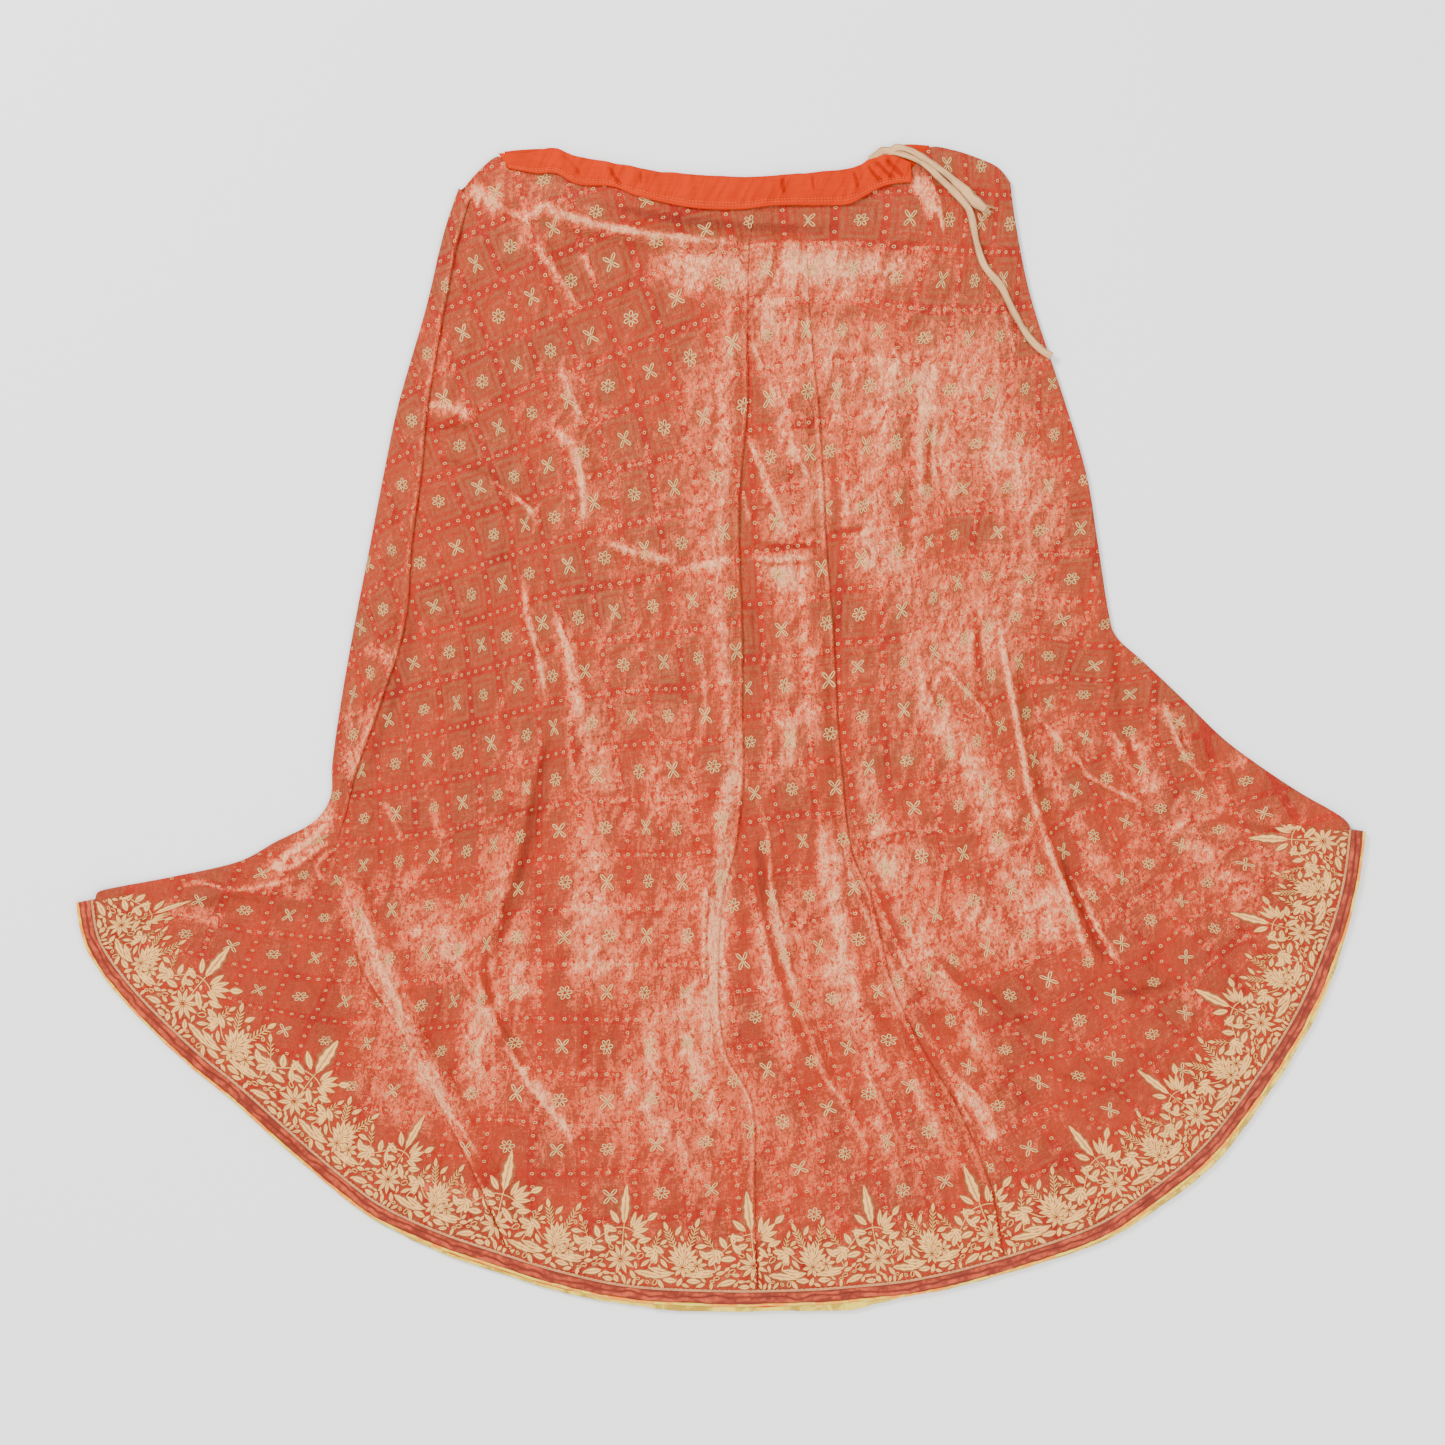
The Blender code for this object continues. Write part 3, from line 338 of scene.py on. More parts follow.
# The same over wide zones
GLOWS = stroke_table([
    (0.38, 130, 900, 290, 960, 420, 1010, 540), (0.3, 70, 840, 280, 850, 420, 850, 560),
    (0.3, 80, 900, 620, 940, 720, 990, 820), (0.42, 90, 860, 800, 900, 900, 950, 1010),
    (0.35, 60, 790, 860, 800, 960, 830, 1060), (0.3, 60, 1000, 820, 1040, 900, 1060, 960),
    (0.28, 60, 640, 860, 640, 980, 650, 1100), (0.25, 70, 480, 1000, 520, 1080, 600, 1150),
    (0.1, 60, 700, 300, 700, 460, 700, 620), (0.14, 60, 640, 420, 640, 560, 640, 700),
    (0.22, 50, 782, 280, 786, 420, 790, 560, 800, 700), (0.2, 60, 560, 330, 580, 450, 590, 560),
    (0.2, 50, 1120, 720, 1150, 790, 1190, 860), (0.45, 44, 640, 264, 720, 268, 800, 268, 900, 276),
    (0.35, 40, 740, 300, 784, 340, 792, 410), (0.48, 56, 870, 530, 930, 600, 985, 680),
    (0.35, 34, 784, 470, 790, 560, 800, 660, 800, 750), (0.28, 40, 660, 690, 680, 780, 690, 860),
    (0.48, 46, 690, 830, 700, 920, 704, 1000, 722, 1070),
    (0.42, 40, 498, 800, 505, 880, 512, 960, 530, 1020), (0.32, 46, 380, 850, 420, 920, 450, 990),
    (0.26, 40, 510, 730, 540, 810), (0.3, 44, 880, 950, 930, 1020), (0.28, 40, 1030, 690, 1090, 770),
    (0.3, 34, 1190, 780, 1250, 850, 1290, 900), (0.22, 40, 470, 180, 540, 200, 600, 220),
    (0.2, 36, 420, 360, 460, 380), (0.36, 36, 650, 272, 740, 272, 860, 272, 940, 284),
    (0.22, 60, 700, 340, 760, 330, 860, 330), (0.3, 50, 790, 500, 860, 520, 870, 600),
    (0.42, 60, 990, 520, 1000, 640, 1010, 700), (0.26, 60, 560, 760, 600, 800, 680, 840),
    (0.3, 70, 430, 880, 470, 960, 520, 1040), (0.4, 50, 680, 980, 700, 1040, 712, 1100),
    (0.24, 60, 560, 1080, 640, 1110, 740, 1110, 820, 1090), (0.26, 40, 350, 940, 380, 1040, 440, 1110),
    (0.2, 40, 780, 700, 790, 760, 800, 800), (0.2, 120, 520, 1120, 700, 1160, 900, 1140, 1080, 1060),
    (0.18, 110, 1070, 980, 1160, 900, 1250, 850), (0.14, 90, 560, 600, 600, 680, 660, 720),
    (0.16, 70, 740, 640, 760, 740, 760, 820),
])
# Creases of the waistband
BAND_CREASES = stroke_table([
    (-0.9, 4, 608, 163, 614, 176, 624, 190), (-0.7, 3, 640, 168, 641, 178, 642, 188),
    (-0.9, 4, 782, 176, 783, 186, 784, 196), (-0.7, 3, 812, 174, 813, 184, 815, 194),
    (-0.9, 4, 852, 170, 856, 180, 858, 192), (-1.1, 4, 866, 164, 876, 176, 884, 186),
    (-1.1, 4, 874, 160, 886, 172, 896, 182), (-1.0, 4, 884, 157, 896, 170, 906, 180),
    (0.8, 4, 870, 166, 882, 178), (0.8, 4, 880, 160, 892, 174), (-0.6, 4, 560, 152, 574, 166, 582, 180),
    (0.6, 5, 528, 158, 548, 164, 566, 170),
])
# The same for the back, which is seen from below
BACK_FOLDS = stroke_table([
    (0.8, 9, 560, 230, 556, 420, 540, 640, 500, 900, 452, 1130),
    (0.9, 9, 690, 230, 694, 480, 690, 760, 682, 1040, 676, 1230),
    (0.8, 9, 830, 230, 852, 460, 880, 720, 920, 980, 968, 1200),
    (0.8, 8, 930, 220, 984, 430, 1046, 640, 1130, 860, 1230, 1040),
    (0.7, 8, 470, 300, 440, 500, 402, 700, 330, 880, 230, 1020),
    (0.6, 7, 620, 420, 612, 640, 600, 860, 580, 1060), (0.6, 7, 760, 500, 774, 700, 790, 900, 810, 1100),
    (0.6, 7, 1010, 700, 1070, 880, 1120, 1060), (0.6, 7, 300, 900, 380, 990, 430, 1100),
    (0.6, 7, 520, 520, 640, 560, 760, 548, 900, 560),
])
# Painted sheen of the back, and painted shade where the value is below 0: strength, half width and line
BACK_SHINES = stroke_table([
    (0.9, 40, 640, 240, 640, 480, 620, 760, 600, 1000), (0.8, 34, 760, 300, 790, 560, 820, 820, 850, 1080),
    (0.8, 40, 960, 360, 1020, 560, 1090, 760, 1180, 920), (0.7, 30, 470, 420, 430, 620, 380, 820, 300, 960),
    (0.6, 22, 540, 800, 520, 960, 480, 1120), (-0.5, 26, 570, 300, 560, 560, 540, 760),
    (-0.5, 24, 700, 320, 706, 620, 704, 900), (-0.5, 24, 880, 320, 920, 560, 960, 820),
    (-0.4, 30, 1060, 560, 1120, 760),
])

# Charts of the woven grid: row q, its first column p, then x and y of each of its motifs from there on
LEFT_CHART = [
    (-3, -1, 496, 192, 545, 181), (-2, -2, 476, 264, 511, 248, 553, 228, 596, 212, 647, 201),
    (-1, -2, 499, 316, 532, 297, 571, 281, 611, 263, 656, 242),
    (0, -3, 482, 382, 518, 364, 551, 350, 590, 336, 630, 318, 677, 299, 720, 283),
    (1, -4, 460, 446, 499, 428, 532, 414, 568, 401, 608, 387, 650, 371, 690, 358),
    (2, -5, 438, 502, 479, 488, 514, 477, 548, 466, 583, 453, 624, 439, 664, 428, 703, 418),
    (3, -6, 421, 562, 457, 548, 495, 535, 526, 525, 554, 517, 595, 503, 634, 494, 675, 487, 715, 477),
    (4, -6, 434, 607, 472, 595, 503, 584, 529, 575, 569, 565, 605, 558, 645, 550, 682, 543, 724, 533),
    (5, -7, 413, 663, 451, 652, 481, 645, 506, 636, 543, 623, 579, 617, 614, 612, 653, 606, 692, 601),
    (6, -8, 389, 720, 424, 710, 457, 702, 484, 695, 518, 686, 552, 676, 586, 671, 623, 665, 664, 662, 698,
     658),
    (7, -8, 396, 764, 428, 759, 459, 752, 491, 744, 528, 736, 553, 727, 592, 723, 632, 717, 668, 716, 706,
     715),
    (8, -9, 365, 818, 396, 814, 434, 807, 462, 802, 498, 795),
    (8, -3, 555, 780, 597, 776, 639, 772, 672, 770, 714, 766),
    (9, -9, 364, 865, 399, 861, 434, 856, 467, 851),
    (9, -4, 521, 837, 559, 830, 605, 828, 646, 827, 676, 828, 720, 820),
    (10, -8, 393, 909, 429, 905, 464, 901), (10, -4, 518, 889, 566, 883, 607, 882, 649, 881, 681, 882),
    (11, -7, 426, 954), (11, -4, 517, 937, 564, 937, 610, 936, 647, 936, 687, 936),
    (12, -6, 455, 1002, 482, 998, 516, 992, 566, 992, 607, 992, 645, 992, 685, 992),
    (13, -5, 474, 1046, 516, 1043, 563, 1045, 607, 1046, 649, 1046),
    (14, -4, 517, 1092, 559, 1101, 607, 1101, 652, 1098, 696, 1093, 735, 1080),
    (15, -4, 507, 1147, 558, 1149, 608, 1148, 656, 1145, 706, 1141, 752, 1130),
]
CENTRE_CHART = [
    (0, 0, 759, 224, 809, 221, 861, 220), (1, 0, 766, 269, 809, 271, 854, 268), (2, 0, 767, 335, 806, 330),
    (3, 0, 769, 399, 808, 393), (4, 0, 771, 458, 809, 454), (5, 0, 775, 521, 815, 514),
    (6, 0, 779, 576, 822, 569), (7, -1, 742, 632, 782, 629, 827, 623),
    (8, -1, 747, 689, 785, 685, 828, 680), (9, -1, 750, 742, 790, 739, 830, 734),
    (10, -1, 754, 793, 792, 789, 835, 786), (11, -1, 766, 847, 803, 841, 843, 839),
    (12, -2, 734, 906, 773, 896, 808, 896, 854, 887), (13, -2, 743, 961, 784, 955, 820, 946, 858, 940),
    (14, -2, 755, 1017, 796, 1008, 832, 998, 878, 990),
    (15, -2, 767, 1070, 811, 1061, 848, 1047, 888, 1040),
    (16, -2, 782, 1122, 828, 1108, 868, 1094, 910, 1086), (17, -1, 845, 1153, 887, 1140),
]
RIGHT_CHART = [
    (0, 1, 809, 221, 861, 220, 910, 218, 949, 220, 981, 222, 1009, 225),
    (1, 1, 809, 271, 854, 268, 896, 278, 942, 280, 974, 282, 1003, 280),
    (2, 2, 842, 330, 879, 332, 925, 338, 968, 338, 1000, 337),
    (3, 2, 836, 391, 869, 387, 908, 386, 950, 389, 990, 393, 1025, 389, 1052, 384),
    (4, 2, 829, 451, 866, 446, 896, 443, 931, 437, 976, 443, 1020, 439, 1054, 435),
    (5, 2, 826, 509, 863, 506, 897, 498), (5, 6, 962, 489, 1007, 488, 1048, 486),
    (6, 3, 861, 560, 899, 552, 929, 542, 954, 535, 998, 533, 1040, 531, 1081, 527),
    (7, 3, 859, 615, 902, 611, 934, 598, 958, 582, 986, 577, 1028, 579, 1072, 579),
    (8, 3, 859, 667, 904, 662, 933, 652, 965, 638, 987, 627, 1014, 617, 1063, 621),
    (9, 3, 862, 716, 904, 709, 940, 702, 967, 692, 992, 675, 1019, 663, 1048, 656, 1093, 666),
    (10, 3, 869, 768, 906, 760, 949, 751, 976, 741, 1001, 726, 1026, 713, 1048, 703, 1083, 694),
    (11, 3, 873, 818, 914, 808, 959, 805, 987, 789, 1011, 774), (11, 10, 1085, 738),
    (12, 3, 886, 868, 921, 856, 964, 854, 997, 837, 1029, 822, 1044, 805, 1076, 789),
    (13, 3, 905, 922, 935, 913, 974, 901, 1012, 888), (13, 8, 1063, 851, 1094, 836),
    (14, 3, 929, 971, 953, 961, 986, 949, 1028, 934, 1068, 915, 1090, 896, 1122, 878, 1148, 864, 1181, 846),
    (15, 3, 949, 1019, 980, 1007, 1010, 996, 1048, 979, 1088, 962, 1121, 944, 1150, 920, 1181, 901, 1207,
     883),
    (16, 3, 968, 1067, 1005, 1050, 1044, 1037, 1079, 1019, 1114, 995, 1153, 982, 1185, 956, 1214, 928),
    (17, 3, 997, 1105, 1039, 1082, 1077, 1076, 1114, 1059, 1151, 1033, 1184, 1012),
    (18, 3, 1029, 1149, 1072, 1128, 1110, 1109),
]
SIDE_CHART = [
    (-11, 10, 447, 287), (-10, 9, 428, 355), (-9, 8, 412, 421, 444, 401), (-8, 7, 403, 485, 434, 465),
    (-7, 5, 369, 565, 392, 550, 422, 531), (-6, 4, 361, 627, 383, 610, 413, 591),
    (-5, 3, 355, 695, 371, 673, 401, 654), (-4, 3, 353, 735, 385, 716), (-3, 2, 337, 796),
    (-1, 2, 303, 876, 337, 880), (0, 0, 199, 900, 245, 910, 289, 914, 325, 918),
    (1, 1, 231, 946, 274, 954, 316, 957, 353, 961),
    (2, 1, 217, 975, 258, 989, 300, 997, 345, 1001, 380, 1001), (3, 3, 285, 1030, 325, 1040, 368, 1044),
    (4, 4, 312, 1082, 352, 1086, 394, 1090), (5, 5, 338, 1126, 380, 1130, 424, 1134),
]
CHARTS = {
    "side_piece_left": SIDE_CHART,
    "front_left_gore": LEFT_CHART,
    "front_centre_gore": CENTRE_CHART,
    "front_right_gore": RIGHT_CHART,
}
FLOWER_ON_ODD = {"side_piece_left": 1, "front_left_gore": 1, "front_centre_gore": 0, "front_right_gore": 0}

# Places of the large sprays along the hem, in drawing units from its left end
SPRAYS_AT = [-90, 32, 150, 300, 428, 554, 690, 830, 958, 1080, 1227, 1344, 1463, 1570, 1672, 1790]

Strand = namedtuple("Strand", "width rise points")
STRANDS = {
    "drawstring_short": Strand(
        6.2,
        [1.2, 1.6, 1.8, 1.0, 1.8, 2.2, 0.4],
        [
            (898, 148), (911, 152), (923, 159), (935, 167), (946, 175), (956, 184), (964, 191), (972, 200),
            (985, 210),
        ],
    ),
    "drawstring_long": Strand(
        6.6,
        [1.0, 2.6, 2.4, 1.8, 1.2, 0.0, 0.0, 0.0, 0.0, 0.0, 0.0, 0.0, 0.0, 0.2],
        [
            (885, 151), (905, 155), (918, 161), (929, 169), (938, 178), (953, 192), (965, 205), (971, 217),
            (976, 243), (984, 266), (1001, 288), (1012, 310), (1025, 333), (1039, 349), (1051, 357),
        ],
    ),
}
TAPE_THICK = 1.3
TAPE_CLEAR = 1.2
FRAYED_THREADS = 34


# Shapes of curves and fields


def smoothstep(x):
    """0 below 0, 1 above 1 and an even S between."""
    x = np.clip(x, 0.0, 1.0)
    return x * x * (3.0 - 2.0 * x)


def bump(x):
    """1 at 0, falling smoothly to 0 at 1 and beyond."""
    return (1.0 - np.clip(np.abs(x), 0, 1) ** 2) ** 2


def through(points, at):
    """A smooth curve through the points, read at places counted in points (0 is the first)."""
    p = np.asarray(points, float)
    p = p.reshape(len(p), -1)
    first = np.clip(np.floor(at).astype(int), 0, len(p) - 2)
    s = (np.asarray(at, float) - first)[:, None]
    before = p[np.maximum(first - 1, 0)]
    a, b = p[first], p[first + 1]
    after = p[np.minimum(first + 2, len(p) - 1)]
    return a + 0.5 * s * (
        b - before + s * (2 * before - 5 * a + 4 * b - after + s * (3 * (a - b) + after - before))
    )


def sampled(line, at, along):
    """The points of a line at some places, along being the place of each point that is known."""
    return np.stack([np.interp(at, along, line[:, k]) for k in range(2)], axis=1)


def lengths_along(line):
    """The length of a line up to each of its points."""
    return np.concatenate([[0], np.cumsum(np.linalg.norm(np.diff(line, axis=0), axis=1))])


def even_curve(points, count):
    """The smooth curve through the points, as count points evenly spaced along it."""
    fine = through(points, np.linspace(0, len(points) - 1, 24 * len(points)))
    along = lengths_along(fine)
    return sampled(fine, np.linspace(0, along[-1], count), along)


def sideways(line):
    """The unit direction to the right of a line at each of its points, as drawn with y down."""
    along = np.gradient(line, axis=0)
    along /= np.linalg.norm(along, axis=1)[:, None]
    return np.stack([-along[:, 1], along[:, 0]], axis=1)


def shifted(line, distance):
    """The line moved to its right by distance."""
    return line + np.asarray(distance).reshape(-1, 1) * sideways(line)


def railed(line, offsets):
    """A grid along a line with a column for each offset to its right: a number, or one for each point."""
    return np.stack([shifted(line, offset) for offset in offsets], axis=1)


def spanned(left, right, u):
    """A grid whose rows run straight from the points of left to those of right, at the shares u."""
    return left[:, None] * (1 - u)[None, :, None] + right[:, None] * u[None, :, None]


def paired(a, b):
    """Two arrays as the first and second of pairs."""
    return np.stack(np.broadcast_arrays(a, b), axis=-1)


def nearest_on(xy, line):
    """For each point of xy, its distance from the line and the share of the line's length where that is."""
    line = np.asarray(line, float)
    flat = xy.reshape(-1, 2)
    lengths = np.linalg.norm(np.diff(line, axis=0), axis=1)
    best = np.full(len(flat), np.inf)
    share = np.zeros(len(flat))
    start = 0.0
    for a, b, length in zip(line[:-1], line[1:], lengths):
        s = np.clip((flat - a) @ (b - a) / length**2, 0, 1)
        away = np.linalg.norm(flat - a - s[:, None] * (b - a), axis=1)
        closer = away < best
        best[closer] = away[closer]
        share[closer] = (start + s[closer] * length) / lengths.sum()
        start += length
    return best.reshape(xy.shape[:-1]), share.reshape(xy.shape[:-1])


def strokes(xy, table):
    """The sum of soft strokes: each has its value on its line and fades to 0 at its half width and ends."""
    flat = xy.reshape(-1, 2)
    total = np.zeros(len(flat))
    for value, half, points in table:
        route = even_curve(points, 8 * len(points))
        near = ((flat > route.min(axis=0) - half) & (flat < route.max(axis=0) + half)).all(axis=1)
        away, share = nearest_on(flat[near], route)
        total[near] += value * bump(away / half) * smoothstep(4 * share) * smoothstep(4 * (1 - share))
    return total.reshape(xy.shape[:-1])


def noise(xy, size, seed):
    """Smooth random values from -1 to 1, with a grain of the given size across and down."""
    table = np.random.default_rng(seed).uniform(-1, 1, (97, 89))
    at = xy / np.asarray(size, float)
    cell = np.floor(at).astype(int)
    f = smoothstep(at - cell)
    rows, columns = cell[..., 0] % 97, cell[..., 1] % 89
    near = table[rows, columns] * (1 - f[..., 0]) + table[(rows + 1) % 97, columns] * f[..., 0]
    columns = (columns + 1) % 89
    far = table[rows, columns] * (1 - f[..., 0]) + table[(rows + 1) % 97, columns] * f[..., 0]
    return near * (1 - f[..., 1]) + far * f[..., 1]


def ridges(xy, size, seed):
    """Noise folded at 0, so that it has narrow ridges: from -1 to 1, 1 on the ridges."""
    return 1.0 - 4.0 * np.abs(noise(xy, size, seed)) ** 0.8 + 0.4


def crushed(xy):
    """Small wrinkles of crushed tissue, in millimetres: ridges of noise, longer down than across."""
    bent = xy + 7.0 * np.stack([noise(xy, 31.0, 5), noise(xy, 29.0, 6)], axis=-1)
    turned = bent @ np.array([[0.94, -0.34], [0.34, 0.94]])
    return (
        0.40 * ridges(bent, (19.0, 37.0), 1)
        + 0.26 * ridges(turned, (12.0, 19.0), 2)
        + 0.16 * ridges(bent, (7.0, 9.0), 3)
        + 0.24 * ridges(bent[..., ::-1], (15.0, 27.0), 4)
    )


HEM = even_curve(HEM_LINE, 1500)
HEM_COARSE = even_curve(HEM_LINE, 76)
BACK_BAND = even_curve(BACK_BAND_TOP, 24)


# The front's plan and heights, as in the solids, and its finer creases


def relief(xy):
    """How far the cloth stands off: the slow puffing between folds, and the folds."""
    x, y = xy[..., 0], xy[..., 1]
    slow = 0.5 + 0.25 * np.sin(x / 47.0 + 1.3) + 0.25 * np.cos(y / 61.0 + x / 150.0)
    return np.maximum(PUFF * slow + strokes(xy, FOLDS), 0.0)


def rest_height(xy):
    """The underside of the front where it lies flat: on the back, or near the hem on the lining's hem."""
    away, _ = nearest_on(xy, HEM_COARSE)
    return FRONT_REST + LINING_RISE * (1.0 - smoothstep((away - LINING_IN - 12.0) / 30.0))


def hem_between(start, end, count):
    """The gores' lower edge, just inside the piping, between the places nearest two points."""
    inside = shifted(HEM, -(PIPING_WIDTH + TURN))
    ends = [int(np.argmin(np.linalg.norm(inside - p, axis=1))) for p in (start, end)]
    return sampled(inside, np.linspace(*ends, count), np.arange(len(inside)))


def gore_plan(name, columns, rows):
    """The plan of a gore as a grid of points, with the station values of each row.

    Each row runs from the left edge to the right edge. Rows near the waist and the hem also bend like
    the upper edge and the hem. An edge that meets its neighbour runs on a little under it.
    """
    table = np.array(GORES[name], float)
    last = len(table) - 1
    at = np.linspace(0, last, rows + 1)
    edges = [np.interp(at, np.arange(last + 1), table[:, k]) for k in range(4, 8)]
    values = np.concatenate([through(table[:, :4], at), np.stack(edges, axis=1)], axis=1)
    left, right = values[:, 0:2], values[:, 2:4]
    across = (right - left) / np.linalg.norm(right - left, axis=1)[:, None]
    laps = np.where(values[:, 4:6] < 0, HIDDEN_LAP, values[:, 4:6])
    left = left - laps[:, 0:1] * across
    right = right + laps[:, 1:2] * across
    u = np.linspace(0, 1, columns + 1)
    grid = spanned(left, right, u)
    if name in TOP_EDGES:
        top = even_curve(TOP_EDGES[name], columns + 1)
        bend = top - spanned(top[:1], top[-1:], u)[0]
        grid += bend[None] * (1 - smoothstep(at / 3.0))[:, None, None]
    low = hem_between(left[-1], right[-1], columns + 1)
    grid += (low - grid[-1])[None] * (smoothstep((at - last + 5.0) / 5.0) ** 1.5)[:, None, None]
    return grid, values, u


def gore_top(name, grid, values, u):
    """The upper side of a gore, resting, puffed, folded, rolled up where it overlaps, creased and crushed.

    With it comes how much the tissue shines: by the strokes, along lips and crests, and where it leans
    towards the light.
    """
    width = np.linalg.norm(grid[:, -1] - grid[:, 0], axis=1)[:, None]
    from_left, from_right = u[None] * width, (1 - u)[None] * width
    height = rest_height(grid)
    calm = np.ones_like(height)
    edge = np.zeros_like(height)
    for away, tuck, lift in (
        (from_left, values[:, 4:5], values[:, 6:7]),
        (from_right, values[:, 5:6], values[:, 7:8]),
    ):
        calm *= smoothstep((away - np.maximum(tuck, 0)) / SETTLE)
        roll = LIP_RISE * (1 - smoothstep(away / np.minimum(ROLL_WIDTH, 1.2 * width)))
        crest = ROLL_RISE * bump((away - ROLL_AT) / ROLL_HALF) * (width > 3 * ROLL_AT)
        height = height + np.clip(lift, 0, 1) * (roll + crest)
        edge += HIDDEN_DROP * (tuck < 0) * (1 - smoothstep(away / 3.0))
        edge += 0.5 * (lift > 0.5) * (1 - smoothstep(away / 2.0))
    to_hem, _ = nearest_on(grid, HEM_COARSE)
    calm *= smoothstep((to_hem - PIPING_WIDTH - 4.0) / 40.0)
    from_side = np.minimum(from_left, from_right)
    loose = smoothstep((to_hem - PIPING_WIDTH) / 12.0) * smoothstep((from_side - 1.0) / 8.0)
    if name in TOP_EDGES:
        to_band, _ = nearest_on(grid, TOP_EDGES[name])
        calm *= smoothstep((to_band - 12.0) / SETTLE)
        loose *= smoothstep(to_band / 16.0)
    scale = bpy.context.scene.lehenga_sizes.crush
    creases = strokes(grid, CREASES)
    wrinkles = crushed(grid)
    fine = creases * (0.3 + 0.7 * calm) + scale * (0.35 + 0.65 * calm) * wrinkles
    height = height + calm * relief(grid) + CLOTH_WALL - edge + loose * fine
    lips = 0.0
    # Painted highlight: a thin bright line of shine along each lifted lip.
    for away, lift in ((from_left, values[:, 6:7]), (from_right, values[:, 7:8])):
        lips = lips + 0.35 * np.clip(lift, 0, 1) * bump((away - 2.5) / 3.0)
    # The shine value is painted into the tissue's colour, as sheen above 0 and shade below: from strokes,
    # zones, lips, creases and the lean to the upper left, where the key light is.
    glow = SHINE_STROKES * strokes(grid, SHINES) + SHINE_ZONES * strokes(grid, GLOWS)
    shine = SHINE_LEAST + glow + lips + SHINE_CREASES * np.clip(creases, -1.4, 1.4)
    shine = shine + (0.18 + 0.34 * np.clip(glow, 0, 1)) * np.clip(LEAN * leaning(grid, fine), -1, 1)
    return height, {"shine": np.clip(shine, -1.2, 1.6)}


def leaning(grid, height):
    """How far each place of a grid leans to the upper left, as a slope."""
    right, below = np.gradient(grid, axis=1), np.gradient(grid, axis=0)
    spread = right[..., 0] * below[..., 1] - right[..., 1] * below[..., 0]
    across, down = np.gradient(height, axis=1), np.gradient(height, axis=0)
    to_right = (across * below[..., 1] - down * right[..., 1]) / spread
    to_below = (down * right[..., 0] - across * below[..., 0]) / spread
    return (0.75 * to_right + 0.65 * to_below) * PER_MM


def placed(xy, height):
    """Points of a plan with their heights, as model coordinates in metres."""
    x = (xy[..., 0] - DRAWN_CENTRE[0]) * UNIT
    y = (DRAWN_CENTRE[1] - xy[..., 1]) * UNIT
    return np.stack([x, y, np.broadcast_to(height, x.shape) * MM], axis=-1)


# The woven grid


class Chart:
    """The woven grid of a piece, as thin-plate surfaces through its charted motifs, both ways."""

    STIFF = 0.02

    def __init__(self, rows):
        self.cells = np.array([(p + k, q) for q, p, *xy in rows for k in range(len(xy) // 2)], float)
        self.places = np.array([place for _, _, *xy in rows for place in zip(xy[::2], xy[1::2])], float)
        self.to_cells = self.surface(self.places / 100.0, self.cells)
        self.to_places = self.surface(self.cells, self.places)

    @staticmethod
    def kernel(a, b):
        """Squared distance times its logarithm, for each pair of points."""
        squared = ((a[:, None] - b[None]) ** 2).sum(axis=-1)
        return squared * np.log(squared + 1e-12)

    def surface(self, at, values):
        """The weights of a thin-plate surface: one for each known place, and a plane."""
        count = len(at)
        plain = np.concatenate([np.ones((count, 1)), at], axis=1)
        whole = np.zeros((count + 3, count + 3))
        whole[:count, :count] = self.kernel(at, at) + self.STIFF * np.eye(count)
        whole[:count, count:] = plain
        whole[count:, :count] = plain.T
        return at, np.linalg.solve(whole, np.concatenate([values, np.zeros((3, 2))]))

    def read(self, surface, at):
        """A surface's values at some places."""
        known, weights = surface
        parts = [
            self.kernel(some, known) @ weights[:-3] + weights[-3] + some @ weights[-2:]
            for some in np.array_split(at, max(1, len(at) // 20000))
        ]
        return np.concatenate(parts)

    def cell(self, xy):
        """(p, q) at each place of the plan."""
        return self.read(self.to_cells, xy.reshape(-1, 2) / 100.0).reshape(xy.shape)

    def place(self, cells):
        """The place of the plan at each (p, q): the reverse surface, and two Newton steps on the first."""
        xy = self.read(self.to_places, cells)
        for _ in range(2):
            here = self.cell(xy)
            right, down = self.cell(xy + [1.0, 0.0]) - here, self.cell(xy + [0.0, 1.0]) - here
            slope = np.stack([right, down], axis=-1) + 1e-9 * np.eye(2)
            step = np.linalg.solve(slope, (cells - here)[..., None])[..., 0]
            xy = xy + np.clip(step, -12.0, 12.0)
        return xy


class BackChart:
    """The woven grid of the back: straight down its middle, and opening evenly towards the hem."""

    MIDDLE = 722.0
    TOP = -420.0
    REACH = 640.0
    COLUMNS = 22.5  # in a radian

    def cell(self, xy):
        """(p, q) at each place of the plan."""
        down = xy[..., 1] - self.TOP
        turn = np.arctan2(xy[..., 0] - self.MIDDLE, down)
        reach = np.hypot(xy[..., 0] - self.MIDDLE, down)
        return np.stack([turn * self.COLUMNS, (reach - self.REACH) / CELL[1]], axis=-1)

    def place(self, cells):
        """The place of the plan at each (p, q)."""
        turn, reach = cells[..., 0] / self.COLUMNS, cells[..., 1] * CELL[1] + self.REACH
        return np.stack([self.MIDDLE + reach * np.sin(turn), self.TOP + reach * np.cos(turn)], axis=-1)


# Meshes


def quads_of(rows, columns, flipped=False):
    """The quads of a grid of rows by columns points, facing up where rows run down and columns right."""
    index = np.arange(rows * columns).reshape(rows, columns)
    corners = [index[:-1, :-1], index[1:, :-1], index[1:, 1:], index[:-1, 1:]]
    quads = np.stack(corners, axis=-1).reshape(-1, 4)
    return quads[:, ::-1] if flipped else quads


def linked(name, data):
    """A new object of a mesh, a light or a camera, in the scene."""
    made = bpy.data.objects.new(name, data)
    bpy.context.scene.collection.objects.link(made)
    return made


